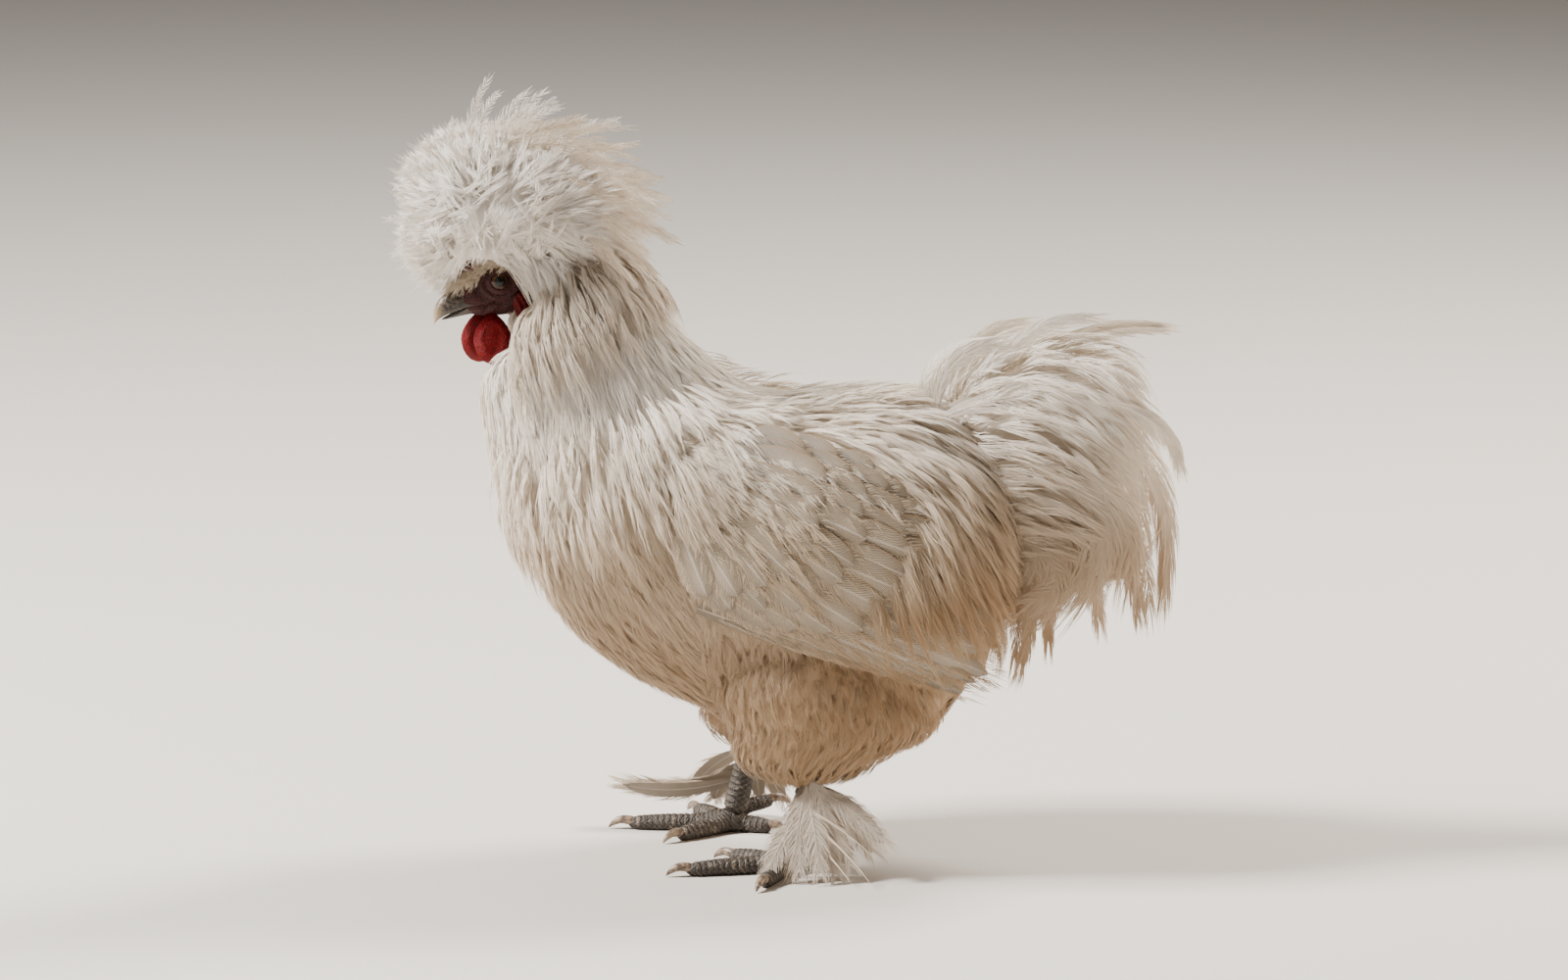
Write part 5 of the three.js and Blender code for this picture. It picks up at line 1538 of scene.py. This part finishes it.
def off_face(places):
    """1 where a place is clear of the bare face and bill, 0 elsewhere."""
    at = in_head(places)
    return outside(at, [12, 0, -11], [28, 44, 16]) & outside(at, [4.5, 0, 0], [9, 44, 8])


def crest_tufts(side, count, seed, deep):
    """A layer of crest feathers, deep under the globe's form at their roots
    and out past it at their tips. Where the rim is near, over the face, they
    are shorter, finer and more. One that would cross the face ends before."""
    draw = np.random.default_rng(seed)
    shape = crest(side)
    room = lambda a: np.linalg.norm(RIM(a / TAU % 1) - WHORL, axis=-1)
    t, a = roots(shape, count, draw, lambda t, a, p: off_face(p) * (t < 0.52) * 40 / room(a))
    rear = np.clip((shape(t, a)[:, 0] - CREST_AT[0]) / 52, 0, 1)
    free = np.clip((PAST(a / TAU % 1) - 1) / 0.35, 0, 1)
    stand = draw.uniform(-1, 2.5, count) + 1.5 * np.sin(6 * a + 3 * np.sin(6 * t)) * np.sin(9 * t + 2 * a)
    stand += free * (8 * np.clip((t - 0.2) / 0.35, 0, 1) + 4 * rear * draw.random(count))
    stand += (1 - free) * draw.uniform(0, 3, count)
    sunk = deep * (0.5 + 0.5 * np.clip(t / 0.2, 0, 1)) * (0.45 + 0.55 * free)
    lifts = sunk[:, None] * DEEP + stand[:, None] * np.linspace(0, 1, 6) ** 2
    long = room(a) * (1.2 - t) * draw.uniform(0.42, 0.9, count)
    sway = 0.12 * np.sin(4 * a + 14 * t) + draw.normal(0, 0.14 + 0.1 * np.clip(1 - t / 0.25, 0, 1))
    settings = [t, a, long, 0.16 * rear, lifts, sway]
    lines, ups = over(shape, *settings)
    for shorter in (0.7, 0.45):
        crossing = ~off_face(lines).all(1)
        settings[2] = long * shorter
        lines[crossing], ups[crossing] = over(shape, *[v[crossing] for v in settings])
    clear = off_face(lines).all(1)
    wide = (np.sqrt(room(a) / 45) * draw.uniform(1.3, 2.6, count))[clear]
    return tufts(lines[clear], ups[clear], 15, wide, draw, spots(t, a)[clear], 0.3, pinch=0.32, loose=0.45)


def crest_fringe(side, count, seed):
    """Tufts that lie out over the globe's outer half and leave it all round its
    outline, so that it ends in soft points; those behind trail back and down."""
    draw = np.random.default_rng(seed)
    shape = crest(side)
    t, a = roots(shape, count, draw, lambda t, a, p: (t > 0.26) & (t < 0.76) & (PAST(a / TAU % 1) > 1.15))
    at, up = shape(t, a), outward(shape, t, a)[2]
    inward = np.array([0, 0.4 * side, 0]) * np.abs(at[:, 1:2]) / 40
    away = unit((at - [-122.0, 0, 284]) * [1, 0, 1])
    way = unit(away + inward + 0.2 * up + draw.normal(0, 0.15, (count, 3)))
    rear = np.clip((at[:, :1] - CREST_AT[0]) / 52, 0, 1)
    root = at - way * 9 - up * 3
    way = way * (draw.uniform(14, 24, (count, 1)) + 9 * rear * draw.random((count, 1)))
    lines = arcs(root, way * 0.55 + up * 3, root + way + rear * np.array([2, 0, -7.0]), 6)
    ups = facing(lines, up[:, None] + [0, -side, 0.2])
    halves = draw.uniform(1.2, 2.5, count)
    return tufts(lines, ups, 14, halves, draw, spots(t, a), 0.28, start=0.35, pinch=0.4, loose=0.55)


def whorl_tufts(side, count, seed):
    """Tufts that lie across the whorl, from ahead over the top to behind, so
    that its middle isn't bare."""
    draw = np.random.default_rng(seed)
    shape = crest(side)
    t, a = draw.uniform(0.02, 0.4, count), draw.uniform(0, TAU, count)
    at, up = shape(t, a), outward(shape, t, a)[2]
    turn = draw.uniform(0.7, 2.9, count)
    way = np.stack([-np.cos(turn), 0 * turn, np.sin(turn)], -1)
    way = unit(square_to(up, way)) * draw.uniform(17, 27, (count, 1))
    root = at - way * 0.4 - up * 4
    handle = way * 0.5 + up * draw.uniform(5, 7, (count, 1))
    lines = arcs(root, handle, root + way + up * draw.uniform(-1, 1.5, (count, 1)), 6)
    ups, halves = up[:, None] + 0 * lines, draw.uniform(1.4, 2.6, count)
    return tufts(lines, ups, 15, halves, draw, spots(t, a), 0.29, start=0.4, pinch=0.35, loose=0.45)


LOCKS = np.array([
    # where a lock leaves the globe, and its tip; those on top stand, the rest trail
    [-100, -14, 322, -73, -14, 330], [-92, -6, 320, -67, -6, 322], [-90, -16, 316, -61, -18, 314],
    [-84, -4, 312, -55, -6, 308], [-84, -18, 306, -56, -20, 300], [-80, -8, 302, -47, -10, 296],
    [-80, -20, 298, -53, -24, 288], [-78, -10, 294, -50, -12, 281], [-80, -22, 288, -56, -26, 274],
    [-78, -12, 284, -56, -16, 266], [-82, -24, 280, -63, -28, 263], [-84, 2, 298, -54, 4, 290],
    [-84, 8, 306, -60, 10, 304], [-84, 12, 292, -60, 14, 280], [-82, 16, 284, -62, 20, 268],
    [-108, -8, 326, -88, -8, 334], [-110, 6, 326, -84, 8, 330],
], float)


def crest_locks(seed, each=4):
    """Pointed locks that leave the globe: a few narrow plumes for each, from
    well inside it to a tip that they share, a little bent to the ground."""
    draw = np.random.default_rng(seed)
    count = len(LOCKS) * each
    ends = np.split(np.repeat(LOCKS, each, 0), 2, axis=1)
    root, tip = (end + draw.normal(0, 2.4, (count, 3)) for end in ends)
    way = tip - root
    handle = way * draw.uniform(0.9, 1.2, (count, 1)) + [0, 0, 4.0]
    lines = arcs(root - way, handle, tip - way * draw.uniform(0, 0.3, (count, 1)))
    ups = unit(np.cross(np.gradient(lines, axis=1), [0.0, draw.uniform(-0.3, 0.6), 1.0]))
    spot, halves = in_row(len(LOCKS), 0.6, each), draw.uniform(2.0, 3.2, count)
    return [
        plumes(lines, ups, 70, halves, draw, spot, 0.32, 0.16, 0.4, 0.1, loose_half),
        shafts(lines, ups, 0.5, draw, spot, 4.0),
    ]


# Painted light: the crest's white a little lighter than the body's, where the light falls most.
CREST_COAT = plumage("plumage_crest", white=(0.93, 0.905, 0.875, 1), warm_shade=0.0)
CREST_SKIN = plumage("plumage_crest_down", coat=False, warm_shade=0.0)
cap = ball(np.array([-118.0, -1, 288]), np.array([34.0, 26, 20]))
puff = piece("crest_down", *shell(cap, 40, 48), CREST_SKIN)
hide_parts("crest")
for name, side in SIDES.items():
    share = 1 if side > 0 else 0.58  # the far side has fewer
    many = round(560 * share)
    coat("crest_" + name, [
        crest_tufts(side, many, 90 + side, 12),
        crest_tufts(side, many, 98 + side, 7),
        crest_fringe(side, many, 92 + side),
        whorl_tufts(side, round(150 * share), 106 + side),
    ], "crest_plumage", CREST_COAT)


def head_form(t, a):
    """The head without its relief, on the bird, read from the bill back."""
    return on_bird(head_section(1 - t, a))


def brow_tufts(seed, count, stand, long, wide, forward, keep, fine, wild, barbs=10):
    """Short feathers rooted in the head's skin, forwards or back over it,
    which stand up from it at their tips and point more or less as they like."""
    draw = np.random.default_rng(seed)
    shape = down(head_form) if forward else head_form
    t, a = roots(shape, count, draw, keep)
    lifts = np.array([-1.5, 0.3, 0.6, 0.8, 0.9, 1]) * draw.uniform(0.4, 1.2, count)[:, None] * stand
    lengths, sag = long * draw.uniform(0.5, 1.15, count), draw.uniform(0, 0.3, count)
    lines, ups = over(shape, t, a, lengths, sag, lifts, draw.normal(0, wild, count))
    clear = outside(in_head(lines), [4, 0, -1], [8.5, 44, 7.2]).all(1)
    lines, ups, spot = lines[clear], ups[clear], spots(t, a)[clear]
    halves = wide * draw.uniform(0.7, 1.3, len(lines))
    return tufts(lines, ups, barbs, halves, draw, spot, fine, pinch=0.2, loose=1.0)


def brow(ahead, above):
    """Where feathers may root: clear of the face, ahead of and above places
    of the head's frame."""
    def keep(t, a, p):
        at = in_head(p)
        return off_face(p) & (at[..., 0] > ahead) & (at[..., 2] > above)
    return keep


def behind_face(t, a, p):
    """Where feathers may root: clear of the face and behind it."""
    return off_face(p) & (in_head(p)[..., 0] < -6)


FACE_COAT = plumage("plumage_face", white=(0.76, 0.66, 0.54, 1), warm_shade=0.0)
coat("coat_brow", [
    brow_tufts(101, 820, 4.5, 7, 1.5, True, brow(-2, 2), 0.2, 0.6),
    brow_tufts(103, 400, 8, 10, 2.0, True, brow(2, 5), 0.22, 0.5),
    brow_tufts(102, 260, 6, 18, 2.2, False, behind_face, 0.3, 0.35, 12),
], "crest_plumage", FACE_COAT)

WISPS = np.array([
    # from, on the globe's top, front or back, and to
    [-142, -10, 312, -131, -8, 352], [-139, -6, 316, -127, -4, 345], [-134, -2, 316, -114, 0, 345],
    [-132, -4, 316, -110, -2, 340], [-130, -6, 318, -106, -4, 346], [-128, -4, 318, -102, -3, 342],
    [-128, 2, 320, -100, 4, 338], [-120, -8, 322, -96, -6, 333], [-104, 4, 320, -74, 6, 332],
    [-150, -8, 304, -158, -8, 326], [-152, 4, 300, -165, 4, 316], [-146, -8, 308, -146, -8, 334],
    [-150, -14, 298, -170, -14, 310], [-150, -12, 284, -176, -12, 290], [-150, -12, 276, -174, -12, 274],
], float)


def crest_wisps(seed):
    """Single long feathers that leave the globe, their faces to the left."""
    draw = np.random.default_rng(seed)
    root, tip = WISPS[:, :3], WISPS[:, 3:]
    lines = arcs(root, (tip - root) * 0.55 + [-4, 0, 4], tip)
    ups = facing(lines, np.array([0, -1, 0.35]))
    spot, halves = in_row(len(lines), 0.4), np.full(len(lines), 3.4)
    return [
        plumes(lines, ups, 76, halves, draw, spot, 0.27, 0.2, 0.6, outline=loose_half),
        shafts(lines, ups, 0.45, draw, spot, 4.0),
    ]


def nape(count, seed):
    """Long tufts from under the globe's back, which lie down over the neck."""
    draw = np.random.default_rng(seed)
    t, a = roots(body, count, draw, lambda t, a, p: (t > 0.02) & (t < 0.17) & (np.cos(a) > -0.5))
    lifts = np.array([0, 5, 7, 6, 3.5, 1.0]) + draw.uniform(-2, 2, count)[:, None] * np.linspace(1, 0.4, 6)
    long, sway = draw.uniform(26, 44, count), draw.normal(0, 0.1, count)
    lines, ups = over(body, t, a, long, np.full(count, 0.35), lifts, sway)
    return tufts(lines, ups, 14, draw.uniform(1.8, 3, count), draw, spots(t, a), 0.38, pinch=0.75)


def ear_locks(side, count, seed):
    """White strands that fall from behind the eye over the lobe's rear edge,
    down the neck, drawn in the head's own frame."""
    draw = np.random.default_rng(seed)
    share = draw.random(count)
    root = np.stack([4 - 18 * share, side * (13 + 3 * share), 15 - 5 * share], -1)
    root += draw.normal(0, 1.8, (count, 3))
    tip = np.stack([-5 - 16 * share, side * (26 + 5 * share), -3 - 27 * draw.random(count)], -1)
    tip += draw.normal(0, 2.8, (count, 3))
    bow = np.stack([-9 + 0 * share, side * draw.uniform(14, 21, count), draw.uniform(-3, 3, count)], -1)
    lines = on_bird(arcs(root, bow, tip, 6))
    out = HEAD_TURN @ [0, side, 0]
    ups = unit(out + draw.normal(0, 0.25, (count, 1, 3)) + 0 * lines)
    halves, spot = draw.uniform(1.0, 2.3, count), unwrapped(share, 0 * share + 0.2)
    return tufts(lines, ups, 14, halves, draw, spot, 0.3, pinch=0.85, loose=0.6)


# Painted shade: the crest's rear locks and the nape darker and browner than the crest.
SHADED_LOCK_COAT = plumage("plumage_locks_painted_shade", white=(0.67, 0.59, 0.505, 1), warm_shade=0.0)
by_ears = [ear_locks(side, 150, 104 + side) for side in SIDES.values()]
coat("crest_locks", crest_locks(96) + [nape(420, 95)], "crest_plumage", SHADED_LOCK_COAT)
coat("crest_ear_locks", by_ears, "crest_plumage", CREST_COAT)
coat("crest_wisps", crest_wisps(97), "crest_plumage", CREST_COAT)

# Floor and light
# A plain pale floor under a pale sky, and four soft lamps: the key high ahead
# of the bird, one high and a warm one low behind it, and a weak one in front.

floor_finish = Finish("floor_paint", Roughness=0.8)
floor_finish.show(Base_Color=(0.66, 0.62, 0.57, 1))
bpy.ops.mesh.primitive_plane_add(size=60)
floor = bpy.context.object
floor.name = "floor"
floor.data.materials.append(floor_finish.material)

world = bpy.data.worlds.new("sky")
bpy.context.scene.world = world
world.use_nodes = True
world.node_tree.nodes["Background"].inputs["Color"].default_value = (1.0, 0.93, 0.84, 1)
world.node_tree.nodes["Background"].inputs["Strength"].default_value = 0.13


def lamp(name, at, size, power, colour):
    """A soft square lamp that looks at the middle of the bird."""
    light = bpy.data.lights.new(name, "AREA")
    light.size = size
    light.energy = power
    light.color = colour
    made = bpy.data.objects.new(name, light)
    bpy.context.scene.collection.objects.link(made)
    made.location = at
    made.rotation_euler = (AIM - Vector(at)).to_track_quat("-Z", "Y").to_euler()


lamp("key", (-1.9, -0.2, 1.9), 0.6, 205, (1.0, 0.98, 0.95))
lamp("back", (1.3, 1.0, 1.9), 0.7, 105, (1.0, 0.95, 0.88))
lamp("low", (1.5, 0.3, 0.25), 0.6, 14, (1.0, 0.80, 0.58))
lamp("front", (-0.9, -2.4, 0.8), 1.4, 5, (1.0, 0.92, 0.82))
